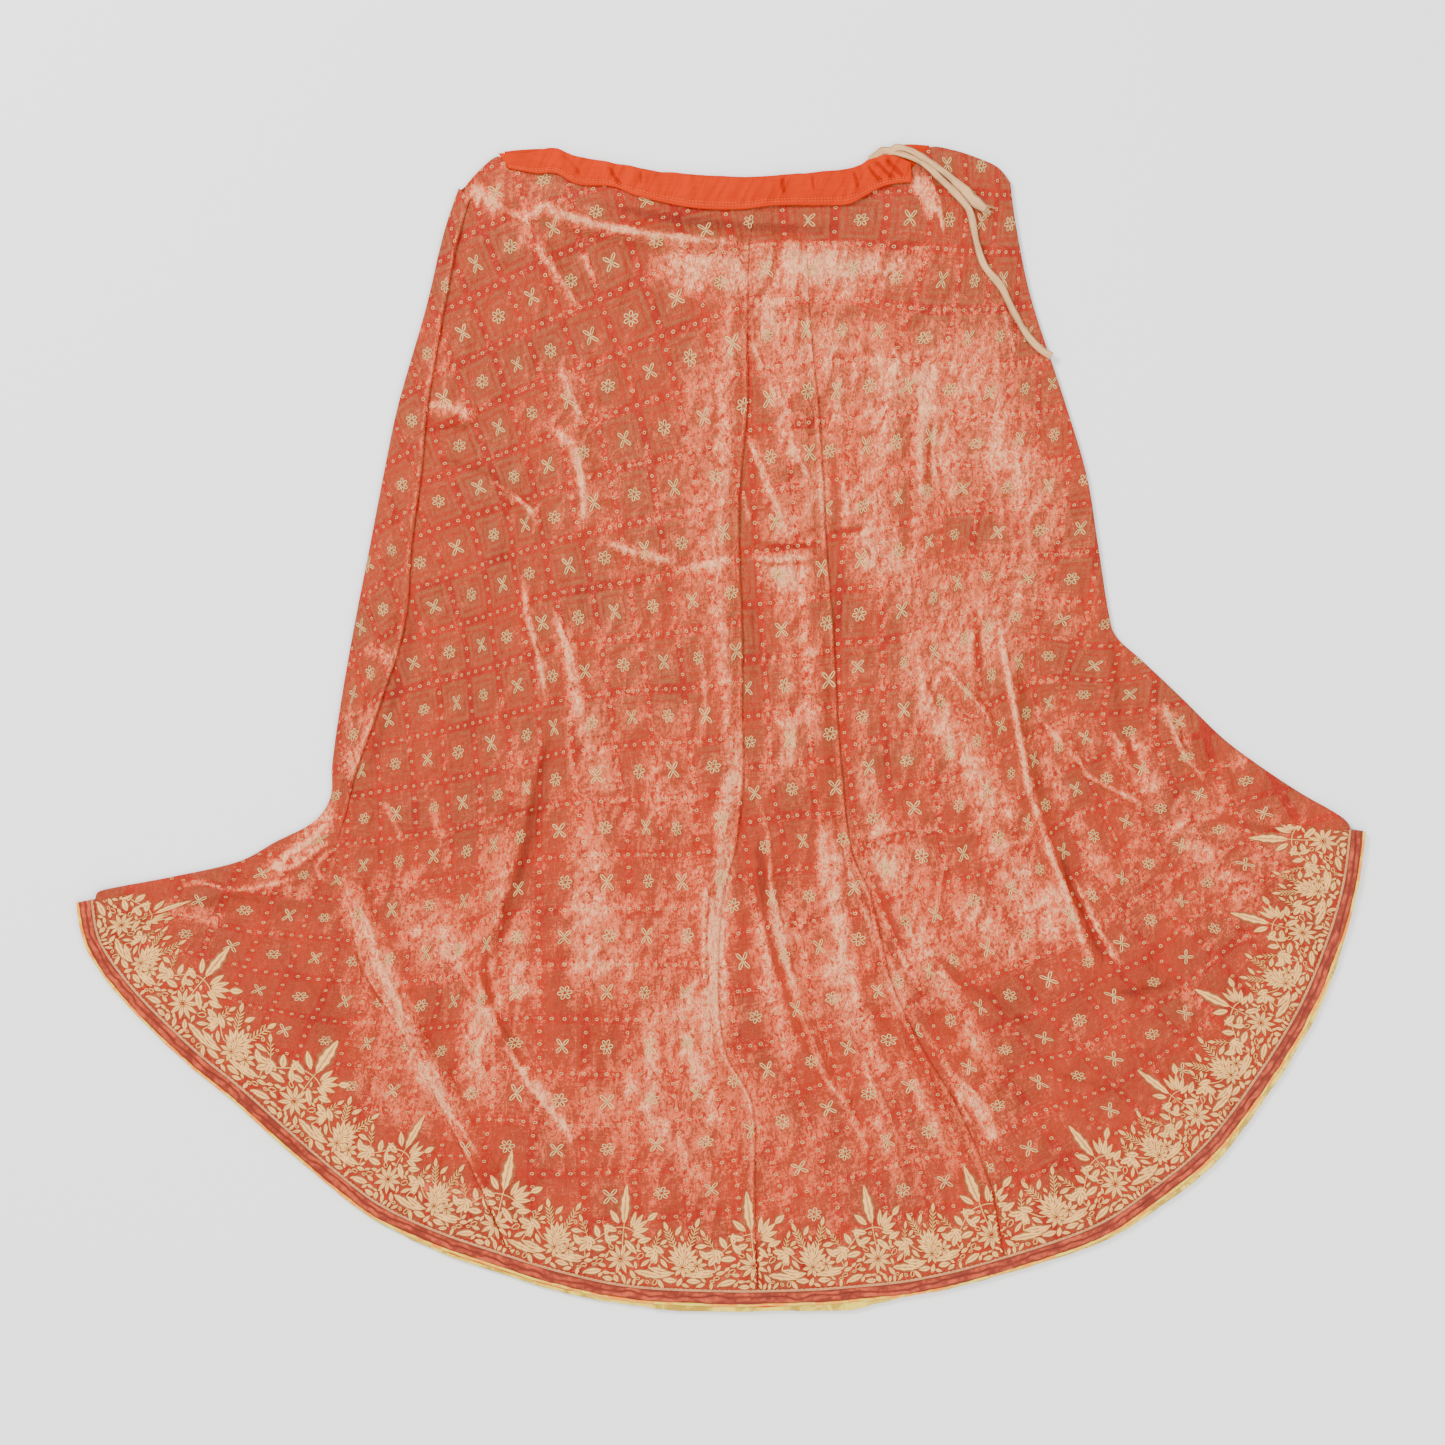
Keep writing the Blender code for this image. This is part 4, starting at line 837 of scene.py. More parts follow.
def add_piece(name, points, quads, finish, nodes=(), uv=None, values=None):
    """A mesh object of points and quads, with its material and ride, which hides the nodes that it stands
    for.
    """
    mesh = bpy.data.meshes.new(name)
    mesh.vertices.add(len(points))
    mesh.vertices.foreach_set("co", np.asarray(points, np.float32).ravel())
    mesh.loops.add(quads.size)
    mesh.loops.foreach_set("vertex_index", np.ascontiguousarray(quads, np.int32).ravel())
    mesh.polygons.add(len(quads))
    mesh.polygons.foreach_set("loop_start", np.arange(0, quads.size, 4, dtype=np.int32))
    if uv is not None:
        layer = mesh.uv_layers.new(name="weave")
        layer.data.foreach_set("uv", np.asarray(uv, np.float32)[quads.ravel()].ravel())
    for key, value in (values or {}).items():
        layer = mesh.attributes.new(key, "FLOAT", "POINT")
        layer.data.foreach_set("value", np.asarray(value, np.float32).ravel())
    mesh.update(calc_edges=True)
    mesh.validate()
    mesh.materials.append(finish)
    mesh.shade_smooth()
    made = linked(name, mesh)
    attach(made, "root")
    if nodes:
        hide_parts(*nodes)
    return made


def turned_edge(points, drop, out=0.0003):
    """A grid of points with two more rows at each side, which turn its edge over and down by drop."""
    for axis in (0, 1):
        grid = np.moveaxis(points, axis, 0)
        ends = []
        for edge, inner in ((grid[0], grid[2]), (grid[-1], grid[-3])):
            away = (edge - inner) * [1.0, 1.0, 0.0]
            away /= np.linalg.norm(away, axis=1)[:, None] + 1e-9
            ends.append([edge + out * away - [0, 0, drop / 2], edge - out * away - [0, 0, drop]])
        (first, second), (third, fourth) = ends
        grid = np.concatenate([second[None], first[None], grid, third[None], fourth[None]])
        points = np.moveaxis(grid, 0, axis)
    return points


def widened(values):
    """Values of a grid, those at its edges repeated for the rows that turned_edge adds."""
    return np.pad(values, [(2, 2), (2, 2)] + [(0, 0)] * (values.ndim - 2), mode="edge")


def add_cloth(name, grid, height, drop, finish, nodes, uv, values, flipped=False):
    """A sheet of cloth over a plan, its edges turned over by drop millimetres: down, or up if flipped."""
    points = turned_edge(placed(grid, height), (-drop if flipped else drop) * MM)
    wider = {key: widened(value) for key, value in values.items()}
    quads = quads_of(*points.shape[:2], flipped)
    uv = widened(uv).reshape(-1, 2)
    return add_piece(name, points.reshape(-1, 3), quads, finish_of(finish), nodes, uv, wider)


def add_grid(name, points, uv, finish, nodes=(), upwards=True):
    """An object of a grid of points, its quads all turned if most of them face the wrong way."""
    flat, quads = points.reshape(-1, 3), quads_of(*points.shape[:2])
    if (turned_up(flat, quads).sum() > 0) != upwards:
        quads = quads[:, ::-1]
    return add_piece(name, flat, quads, finish_of(finish), nodes, uv.reshape(-1, 2))


def declare_sheet(grid, fullness=1.03):
    """Works out the cut that a cloth over a plan was laid from: its widest row and longest column.

    A piece much narrower than its widest row gets the width at which it fills a third of its cut. Nothing
    is done with the cut.
    """
    across = np.linalg.norm(np.diff(grid, axis=1), axis=2).sum(axis=1).max()
    down = np.linalg.norm(np.diff(grid, axis=0), axis=2).sum(axis=0).max()
    sides = grid[1:, :-1] - grid[:-1, :-1], grid[:-1, 1:] - grid[:-1, :-1]
    crossed = sides[0][..., 0] * sides[1][..., 1] - sides[0][..., 1] * sides[1][..., 0]
    area = np.abs(crossed).sum() * UNIT**2
    width, length, area = across * UNIT * fullness, down * UNIT * fullness, area * fullness**2
    width = round(float(max(0.01, min(width, area / (0.34 * length)))), 3)
    length = round(float(length), 3)
    area = round(float(min(area, width * length)), 5)


class Ground:
    """The heights of pieces over the plan, on a raster one drawing unit fine; NaN where there is none."""

    def __init__(self):
        self.heights = np.full((RASTER, RASTER), np.nan)

    @staticmethod
    def denser(values, times):
        """The grid with times as many steps both ways, in straight lines."""
        for axis in (0, 1):
            grid = np.moveaxis(values, axis, 0)
            s = (np.arange(times) / times).reshape(1, times, *(1,) * (grid.ndim - 1))
            between = grid[:-1, None] * (1 - s) + grid[1:, None] * s
            grid = np.concatenate([between.reshape(-1, *grid.shape[1:]), grid[-1:]])
            values = np.moveaxis(grid, 0, axis)
        return values

    def lay(self, grid, height, times=4):
        """Adds a piece. Where it covers another, the higher one stays."""
        xy = self.denser(grid, times).reshape(-1, 2)
        z = self.denser(height, times).ravel()
        at = np.clip(np.rint(xy).astype(int), 0, RASTER - 1)
        key = at[:, 1] * RASTER + at[:, 0]
        count = np.bincount(key, minlength=RASTER**2)
        total = np.bincount(key, weights=z, minlength=RASTER**2)
        made = np.where(count > 0, total / np.maximum(count, 1), np.nan).reshape(RASTER, RASTER)
        around = [np.roll(made, (i, j), (0, 1)) for i in (-1, 0, 1) for j in (-1, 0, 1) if i or j]
        known = sum(np.isfinite(a) for a in around)
        filled = sum(np.nan_to_num(a) for a in around) / np.maximum(known, 1)
        made = np.where(np.isfinite(made) | (known < 2), made, filled)
        self.heights = np.fmax(self.heights, made)
        return self

    def read(self, xy):
        """Heights between the raster's points, NaN outside."""
        at = np.clip(xy, 0, RASTER - 1.001)
        cell = np.floor(at).astype(int)
        f = at - cell
        x, y = cell[..., 0], cell[..., 1]
        upper = self.heights[y, x] * (1 - f[..., 0]) + self.heights[y, x + 1] * f[..., 0]
        lower = self.heights[y + 1, x] * (1 - f[..., 0]) + self.heights[y + 1, x + 1] * f[..., 0]
        return upper * (1 - f[..., 1]) + lower * f[..., 1]


# Filled by the cloth operators, and read by those that lay embroidery on the cloth
GROUNDS = {}


# Embroidery shapes: each is points in millimetres, lifts, quads and thread coordinates

Shape = namedtuple("Shape", "xy lift quads uv")


def joined(shapes):
    """Several shapes as one."""
    starts = np.cumsum([0] + [len(s.xy) for s in shapes[:-1]])
    return Shape(
        np.concatenate([s.xy for s in shapes]),
        np.concatenate([s.lift for s in shapes]),
        np.concatenate([s.quads + start for s, start in zip(shapes, starts)]),
        np.concatenate([s.uv for s in shapes]),
    )


def moved(shape, x=0.0, y=0.0, turn=0.0):
    """The shape turned by so many degrees and moved."""
    c, s = np.cos(np.radians(turn)), np.sin(np.radians(turn))
    return shape._replace(xy=shape.xy @ np.array([[c, s], [-s, c]]) + [x, y])


def loop(near, far, width, thread, lift, steps=8):
    """A chain-stitch petal: a teardrop ring from near to far along x, three points across its thread.

    Its middle line is x = middle - half cos a, y = width/2 sin a (0.8 - 0.2 cos a).
    """
    a = np.linspace(0, 2 * np.pi, steps + 1)[:-1]
    half = (far - near) / 2
    y = width / 2 * np.sin(a) * (0.8 - 0.2 * np.cos(a))
    line = np.stack([near + half - half * np.cos(a), y], axis=1)
    out = np.stack([-np.cos(a) * width, np.sin(a) * half * 2], axis=1)
    out /= np.linalg.norm(out, axis=1)[:, None]
    rails = [line - out * thread / 2, line, line + out * thread / 2]
    index = np.arange(3 * steps).reshape(3, steps)
    after = np.roll(index, -1, axis=1)
    quads = [np.stack([index[k], index[k + 1], after[k + 1], after[k]], axis=1) for k in (0, 1)]
    rise = np.concatenate([np.full(steps, 0.08), np.full(steps, lift), np.full(steps, 0.08)])
    along = np.tile(a * half, 3)
    side = np.repeat([-1.0, 0.0, 1.0], steps)
    return Shape(np.concatenate(rails), rise, np.concatenate(quads), np.stack([along, side], axis=1))


def leaf(length, width, lift, teeth=0.0, steps=6):
    """A satin-stitched leaf along x: half width w sin(pi t^0.8)^0.8, domed at each side of a sunk vein."""
    t = np.linspace(0, 1, steps + 1)[:, None]
    side = np.array([-1.0, -0.5, 0.0, 0.5, 1.0])[None]
    reach = width / 2 * np.sin(np.pi * np.clip(t, 0.03, 0.97) ** 0.8) ** 0.8
    notch = 1 + teeth * (np.arange(steps + 1) % 2 - 0.5)[:, None]
    x = length * (t + 0.06 * np.abs(side) * (1 - t))
    y = reach * notch * side
    rise = lift * np.array([0.1, 1.0, 0.45, 1.0, 0.1])[None] * np.sin(np.pi * np.clip(t, 0.06, 0.94)) ** 0.4
    quads = quads_of(steps + 1, 5)
    uv = np.stack([x, np.broadcast_to(side, x.shape)], axis=-1).reshape(-1, 2)
    return Shape(np.stack([x, y], axis=-1).reshape(-1, 2), rise.ravel(), quads, uv)


def stem(points, width, lift):
    """A ribbon of thread along a curve, higher along its middle."""
    route = even_curve(points, 4 * len(points))
    grid = railed(route, (-width / 2, 0.0, width / 2))
    rise = np.broadcast_to(np.array([0.08, lift, 0.08]), grid.shape[:2])
    uv = paired(np.linspace(0, 8.0 * len(points), len(route))[:, None], np.array([[-1.0, 0.0, 1.0]]))
    return Shape(grid.reshape(-1, 2), rise.ravel(), quads_of(len(route), 3), uv.reshape(-1, 2))


def rosette(x, y, petals, inner, outer, width, lift):
    """Pointed petals around a ring."""
    petal = moved(leaf(outer - inner, width, lift, steps=4), inner, 0.0)
    turned = [moved(petal, x, y, 360.0 * k / petals + 11.0) for k in range(petals)]
    return joined(turned + [moved(loop(-inner, inner, 2 * inner, 0.9, lift), x, y)])


def fern(base, tip, pairs, size, lift):
    """A stem with pairs of narrow leaves and a bud at its tip."""
    base, tip = np.array(base, float), np.array(tip, float)
    turn = np.degrees(np.arctan2(*(tip - base)[::-1]))
    parts = [stem([base, (base + tip) / 2 + [0.4, 0.0], tip], 1.0, lift * 0.7)]
    for k in range(pairs):
        place = base + (tip - base) * (k + 1) / (pairs + 1)
        for side in (-1, 1):
            parts.append(moved(leaf(size, size * 0.3, lift, steps=3), *place, turn + side * 38))
    parts.append(moved(leaf(size * 1.5, size * 0.9, lift), *tip, turn))
    return joined(parts)


def motif_flower(size, steps):
    """Six chain-stitch petals around a knot."""
    petal = loop(0.13 * size, 0.52 * size, 0.29 * size, 0.075 * size, 0.7, steps + 1)
    return joined([moved(petal, turn=60 * k + 8) for k in range(6)])


def motif_cross(size, steps):
    """Four long chain-stitch petals set crosswise."""
    parts = [
        moved(loop(0.04 * size, 0.66 * size, 0.24 * size, 0.078 * size, 0.7, steps + 2), turn=turn)
        for turn in (52, 128, 232, 308)
    ]
    return joined(parts)


def motif_ring(size, steps):
    """A small ring of thread around a sequin's hole."""
    return loop(-size / 2, size / 2, size, 0.22 * size, 0.5, steps)


# A spray of the border over one repeat: x along the hem and y inwards, in millimetres
REPEAT = 112.0
LEAVES = [
    (1, 52, 97, 31, 13, 0.3), (-4, 52, 138, 13, 6, 0), (-5, 45, 170, 12, 5, 0), (-2, 40, 200, 10, 5, 0),
    (8, 50, 80, 13, 4, 0), (10, 49, 60, 14, 4, 0), (11, 48, 40, 14, 4, 0), (11, 46, 20, 13, 4, 0),
    (10, 44, -2, 11, 4, 0), (23, 58, 42, 10, 6.5, 0), (-20, 36, 120, 10, 5, 0), (-22, 30, 160, 10, 5, 0),
    (-14, 40, 95, 9, 4.5, 0), (4, 38, -40, 14, 6, 0.2), (16, 38, 20, 11, 5, 0), (20, 33, -10, 12, 5, 0),
    (-8, 32, 130, 10, 4.5, 0), (-12, 28, 190, 12, 5, 0), (24, 26, 30, 12, 5, 0),
    (-30, 12, 182, 22, 8.5, 0.25), (16, 12, -8, 24, 9, 0.25), (-12, 8, 200, 14, 6, 0), (0, 6, -60, 6, 4, 0),
    (30, 20, 70, 10, 5, 0), (-26, 22, 100, 12, 5, 0), (34, 10, 10, 14, 6, 0.2), (-34, 26, 140, 10, 5, 0),
]
SMALL_LEAVES = [
    (56, 26, 84, 13, 4, 0), (56, 25, 64, 13, 4, 0), (56, 24, 44, 13, 4, 0), (56, 23, 24, 12, 4, 0),
    (56, 26, 104, 13, 4, 0), (56, 25, 124, 13, 4, 0), (56, 24, 144, 13, 4, 0), (56, 23, 164, 11, 4, 0),
    (66, 12, 12, 16, 6, 0.2), (46, 12, 168, 16, 6, 0.2), (60, 6, 0, 10, 4.5, 0), (52, 6, 180, 10, 4.5, 0),
    (72, 28, 20, 11, 5, 0), (40, 30, 150, 11, 5, 0), (78, 20, 60, 10, 5, 0), (34, 20, 110, 9, 4.5, 0),
]
STEMS = [
    [(-22, 34), (-10, 46), (4, 49), (16, 44), (24, 34)],
    [(14, 50), (20, 55), (23, 58)],
    [(4, 24), (2, 38), (1, 52)],
    [(24, 34), (30, 26), (28, 16)],
    [(-22, 34), (-30, 26), (-28, 16)],
    [(36, 30), (46, 22), (56, 24)],
    [(76, 30), (66, 22), (56, 24)],
]


# x, y, petals, inner and outer reach, and petal width
ROSETTES = [(3, 21, 10, 2.2, 13.5, 5.6), (56, 18, 8, 1.6, 9.5, 5.0), (-44, 20, 7, 1.6, 8.5, 4.8)]
# base, tip, pairs and leaf length
FERNS = [
    ((60, 33), (66, 54), 5, 6.0), ((50, 33), (42, 50), 5, 6.0), ((30, 30), (34, 44), 3, 5.0),
    ((-30, 34), (-38, 46), 3, 5.0),
]


def border_repeat(lift):
    """One repeat of the floral border: the sprays above, ferns, rosettes, and leaves strewn in the gaps."""
    parts = []
    for x, y, turn, length, width, teeth in LEAVES + SMALL_LEAVES:
        wide = max(width, min(1.7 * width, 8.5))
        parts.append(moved(leaf(length * 1.15, wide, lift, teeth, 8 if length > 20 else 5), x, y, turn))
    parts += [stem(points, 1.3, lift * 0.8) for points in STEMS]
    parts += [rosette(*numbers, lift) for numbers in ROSETTES]
    parts += [fern(*numbers, lift) for numbers in FERNS]
    taken = np.concatenate([part.xy for part in parts])
    rng = np.random.default_rng(17)
    for _ in range(4500):
        x, y = rng.uniform(-REPEAT / 2, REPEAT / 2), 1.0 + 46.0 * rng.uniform() ** 1.2
        turn, length = rng.uniform(0, 360), rng.uniform(5.0, 10.5)
        ring = rng.uniform() < 0.22
        angle = np.radians(turn)
        middle = np.array([x, y]) + length / 2 * np.array([np.cos(angle), np.sin(angle)])
        top = 44.0 + 10.0 * np.cos(np.pi * x / 28.0)
        gaps = (taken - middle + REPEAT / 2) % [REPEAT, 1e6] - REPEAT / 2
        away = np.hypot(gaps[:, 0], gaps[:, 1]).min()
        if middle[1] > top or middle[1] < 1.5 or away < 0.30 * length:
            continue
        if ring:
            part = moved(loop(0.0, length * 0.7, length * 0.5, 1.4, lift, 7), x, y, turn)
        else:
            part = moved(leaf(length, length * rng.uniform(0.52, 0.74), lift, 0.0, 4), x, y, turn)
        parts.append(part)
        taken = np.concatenate([taken, part.xy])
    return joined(parts)


# Finishes


class Socket:
    """A socket of a material's nodes, or a number: sums and products of it add Math nodes."""

    def __init__(self, finish, socket):
        self.finish, self.socket = finish, socket

    def math(self, operation, *others):
        """The result of a Math node on this socket and others."""
        sockets = dict(enumerate((self, *others)))
        made = self.finish.node("ShaderNodeMath", {"operation": operation}, sockets)
        return Socket(self.finish, made.outputs[0])

    def __add__(self, other):
        return self.math("ADD", other)

    __radd__ = __add__

    def __mul__(self, other):
        return self.math("MULTIPLY", other)

    __rmul__ = __mul__

    def __sub__(self, other):
        return self.math("SUBTRACT", other)

    def __rsub__(self, other):
        return self.math("MULTIPLY_ADD", -1.0, other)

    def __truediv__(self, other):
        return self.math("DIVIDE", other)

    def __pow__(self, other):
        return self.math("POWER", other)

    def __abs__(self):
        return self.math("ABSOLUTE")


class Finish:
    """A material, its shader, and one way to add a node to it."""

    def __init__(self, name, colour, roughness, gloss=0.2, **constants):
        self.material = bpy.data.materials.new(name)
        self.material.use_nodes = True
        self.material.diffuse_color = (*colour, 1.0)
        self.nodes = self.material.node_tree.nodes
        self.links = self.material.node_tree.links
        self.shader = self.nodes["Principled BSDF"]
        self.put(self.shader.inputs["Base Color"], colour)
        self.put(self.shader.inputs["Roughness"], roughness)
        self.put(self.shader.inputs["Specular IOR Level"], gloss)
        for key, value in constants.items():
            self.put(self.shader.inputs[key.replace("_", " ").title()], value)

    def put(self, socket, value):
        """Links a socket to another, or sets its number or colour."""
        if isinstance(value, Socket):
            self.links.new(value.socket, socket)
        elif hasattr(value, "__len__") and socket.type == "RGBA":
            socket.default_value = (*value[:3], 1.0)
        else:
            socket.default_value = value

    def node(self, kind, settings=None, sockets=None):
        """Adds a node: its type, its settings, and the values or links of its sockets by name or number."""
        made = self.nodes.new(kind)
        for key, value in (settings or {}).items():
            setattr(made, key, value)
        for key, value in (sockets or {}).items():
            self.put(made.inputs[key], value)
        return made

    def parts(self, vector):
        """The first two parts of a vector."""
        made = self.node("ShaderNodeSeparateXYZ", None, {0: vector})
        return Socket(self, made.outputs[0]), Socket(self, made.outputs[1])

    def uv(self):
        """The thread coordinates, as a vector and one by one."""
        whole = Socket(self, self.node("ShaderNodeUVMap", {"uv_map": "weave"}).outputs[0])
        return whole, *self.parts(whole)

    def value(self, name):
        """A number that the mesh keeps at its points."""
        return Socket(self, self.node("ShaderNodeAttribute", {"attribute_name": name}).outputs["Fac"])

    def position(self):
        """The place on the object."""
        return Socket(self, self.node("ShaderNodeTexCoord").outputs["Object"])

    def noise(self, vector, scale, detail=2.0, rough=0.5, distort=0.0):
        """Noise from 0 to 1 over a vector, at one scale or at a scale for each axis."""
        if isinstance(scale, tuple):
            sockets = {0: vector, 1: scale}
            made = self.node("ShaderNodeVectorMath", {"operation": "MULTIPLY"}, sockets)
            vector, scale = Socket(self, made.outputs[0]), 1.0
        sockets = {"Vector": vector, "Scale": scale, "Detail": detail, "Roughness": rough}
        made = self.node("ShaderNodeTexNoise", None, {**sockets, "Distortion": distort})
        return Socket(self, made.outputs[0])

    def step(self, x, low, high):
        """0 below low, 1 above high and an S between."""
        sockets = {"Value": x, "From Min": low, "From Max": high}
        made = self.node("ShaderNodeMapRange", {"interpolation_type": "SMOOTHSTEP"}, sockets)
        return Socket(self, made.outputs[0])

    def mix(self, share, first, second):
        """One colour over another."""
        made = self.node("ShaderNodeMix", {"data_type": "RGBA"}, {0: share, 6: first, 7: second})
        return Socket(self, made.outputs[2])

    def near(self, x, middle, half):
        """1 where x is at middle, falling to 0 at half to each side."""
        return 1.0 - self.step(abs(x - middle), half * 0.35, half)

    def bump(self, height, depth, strength):
        """A Bump node of a height from 0 to 1 and its depth in metres."""
        sockets = {"Height": height, "Distance": depth, "Strength": strength}
        return Socket(self, self.node("ShaderNodeBump", None, sockets).outputs[0])

    def finish(self, **inputs):
        """Puts the inputs into the shader and returns the material."""
        for key, value in inputs.items():
            self.put(self.shader.inputs[key.replace("_", " ").title()], value)
        return self.material


def tissue_finish(colours):
    """Tissue silk: woven frames in each cell of the grid, painted sheen in patches where the crushed weft
    shines, and painted shade where the shine value is below 0.
    """
    f = Finish("tissue", colours.silk, 0.45)
    uv, p, q = f.uv()
    place = f.position()
    shine = f.value("shine")
    across = abs((p + 0.5).math("FRACT") - 0.5) * 2.0
    down = abs((q + 0.5).math("FRACT") - 0.5) * 2.0
    ragged = (f.noise(uv, (60.0, 11.0, 1.0), 3.0) - 0.5) * 0.10
    square = across.math("MAXIMUM", down) + ragged
    weft = f.noise(uv, (3.6, 27.0, 1.0), 4.0, 0.7)
    warp = f.noise(uv, (23.0, 3.0, 1.0), 4.0, 0.7)
    threads = (weft + warp) * 0.5
    crossed = f.step(weft, 0.50, 0.60) + f.step(warp, 0.50, 0.60)
    field = 1.0 - f.step(square, 0.74, 0.86)
    crisp = f.step(f.parts(place)[1], -0.22, 0.10)
    lines = f.near(square, 0.56, 0.10) * 0.6 + f.near(square, 0.30, 0.08) * 0.3
    frames = 1.0 - lines * (crisp * 0.8 + 0.2)
    faded = f.noise(place, (21.0, 15.0, 18.0), 3.0)
    worn = f.step(faded + crisp * 0.16 - 0.14 + (threads - 0.5) * 3.0, 0.36, 0.62)
    woven = field * frames * (worn * 0.6 + 0.4) * (crisp * 0.35 + 0.65)
    red = f.mix(f.step(warp + (faded - 0.5), 0.35, 0.70), colours.silk, colours.silk_deep)
    base = f.mix(woven * 0.85, red, colours.weft)
    first = f.noise(place, (66.0, 36.0, 46.0), 4.0, 0.58, 1.1)
    second = f.noise(place, (250.0, 150.0, 180.0), 3.0, 0.6, 0.8)
    patch = f.noise(place, (24.0, 13.0, 18.0), 3.0, 0.55, 0.7)
    foil = (1.0 - abs(first - 0.5) * 9.0).math("MAXIMUM", 0.0)
    flakes = (1.0 - abs(second - 0.5) * 8.0).math("MAXIMUM", 0.0)
    # The crumpled noise is the fine relief of the bump, and also breaks up the painted sheen.
    crumpled = foil * 0.30 + flakes * 0.56 + first * 0.5 + patch * 0.7
    reach = shine.math("MAXIMUM", 0.0).math("MINIMUM", 1.0)
    # level says where sheen is painted into the colour: from the shine value, the crumpled noise and the
    # threads.
    level = shine * 0.66 + (crumpled - 0.92) * (reach * 1.05 + 0.26) + (threads - 0.5) * 2.1 - woven * 0.05
    lit = f.step(level, 0.24, 0.66)
    bright = f.step(level, 0.74, 1.30)
    shone = f.mix(bright, colours.sheen, colours.sheen_bright)
    shone = f.mix(crossed * 0.18 + woven * 0.24, shone, colours.weft)
    # Painted sheen: lit and bright places take the sheen colours in place of the silk's own.
    colour = f.mix(lit * 0.92, base, shone)
    # Painted shade, deep in folds and valleys, where the shine value is below 0.
    colour = f.mix(f.step(0.0 - shine, 0.10, 0.90) * 0.5, colour, colours.shade)
    grain = threads * 0.7 + foil * 0.5 + flakes * 0.35 + first * 0.6 + woven * 0.06
    normal = f.bump(grain, 0.0016, 0.8)
    return f.finish(base_color=colour, roughness=0.52 - lit * 0.12, metallic=lit * 0.25, normal=normal)


def thread_finish(name, light, dark, depth):
    """Stitched thread: slanting satin stitches from a vein, in two tones, with painted shade at its edges
    and in its sunk vein.
    """
    f = Finish(name, light, 0.6)
    _, along, side = f.uv()
    slant = (along * 5.2 + abs(side) * 2.6).math("SINE") * 0.5 + 0.5
    blotch = f.noise(f.position(), 260.0, 3.0)
    # Painted shade: darker at the edges, where the stitches fall to the cloth, and in the sunk vein.
    edge = f.step(abs(side), 0.48, 0.74)
    vein = 1.0 - f.step(abs(side), 0.02, 0.22)
    shade = (slant * 0.30 + edge * depth + vein * depth * 0.6 + (blotch - 0.5) * 0.8).math("MAXIMUM", 0.0)
    colour = f.mix(shade.math("MINIMUM", 1.0), light, dark)
    normal = f.bump(slant + blotch, 0.0003, 0.6)
    return f.finish(base_color=colour, roughness=0.55 + slant * 0.15, normal=normal)


def cotton_finish(name, colour, dark, threads):
    """Plain-woven cotton: crossing threads, slubs, a little fading, and painted shade in creases."""
    f = Finish(name, colour, 0.85, 0.05)
    place = f.position()
    x, y = f.parts(place)
    weave = (x * threads).math("SINE") * (y * threads).math("SINE") * 0.5 + 0.5
    slub = f.noise(place, (60.0, 700.0, 60.0), 3.0)
    fade = f.noise(place, 24.0, 3.0)
    shade = (weave * 0.25 + f.step(slub, 0.45, 0.75) * 0.4 + f.step(fade, 0.4, 0.7) * 0.5) * 0.5
    # Painted shade where the mesh keeps a crease value below 0: the casing's crease troughs, wrinkles and
    # sunk seams.
    shade = shade + f.step(0.0 - f.value("crease"), 0.30, 1.0) * 0.8
    made = f.mix(shade.math("MINIMUM", 1.0), colour, dark)
    return f.finish(base_color=made, normal=f.bump(weave * 0.6 + slub, 0.0004, 0.5))


def piping_finish(colours):
    """Piping: a bias-cut red band over two cords, with a painted highlight along their crests, and painted
    shade in the stitched groove between them and along its rims.
    """
    f = Finish("piping_band", colours.piping, 0.5)
    _, along, side = f.uv()
    place = f.position()
    wander = (f.noise(place, (34.0, 34.0, 34.0), 3.0, 0.6) - 0.5) * 2.2
    # Painted highlight along the cords' crests, in patches; painted shade in the groove between them and at
    # the band's rims.
    crest = f.near(abs(side + wander), 0.5, 0.46)
    groove = 1.0 - f.step(abs(side + wander * 0.5), 0.0, 0.16)
    rim_shade = f.step(abs(side), 0.84, 1.0)
    blotch = f.noise(place, (90.0, 90.0, 90.0), 4.0, 0.6)
    twill = (along * 3.0 + side * 4.0).math("SINE") * 0.5 + 0.5
    colour = f.mix(crest * f.step(blotch, 0.36, 0.66), colours.piping, colours.piping_lit)
    shade = (groove * 0.30 + rim_shade * 0.30 + twill * 0.14).math("MINIMUM", 1.0)
    colour = f.mix(shade, colour, colours.shade)
    return f.finish(base_color=colour, normal=f.bump(twill * 0.4 + blotch, 0.0004, 0.5))


def satin_finish(name, light, dark):
    """Satin with soft folds across it, in two colours by turns: where the second is darker, as on the
    edging, that is painted light and painted shade on the folds.
    """
    f = Finish(name, light, 0.34, 0.35, metallic=0.1)
    place = f.position()
    folds = f.noise(place, 55.0, 3.0, 0.55, 0.8)
    fine = f.noise(place, 420.0, 2.0)
    # Besides their bump, the folds are painted in the colour: on the edging the darker colour is their
    # painted shade.
    colour = f.mix(f.step(folds + (fine - 0.5) * 0.3, 0.38, 0.64), light, dark)
    return f.finish(base_color=colour, normal=f.bump(folds + fine * 0.2, 0.0008, 0.5))


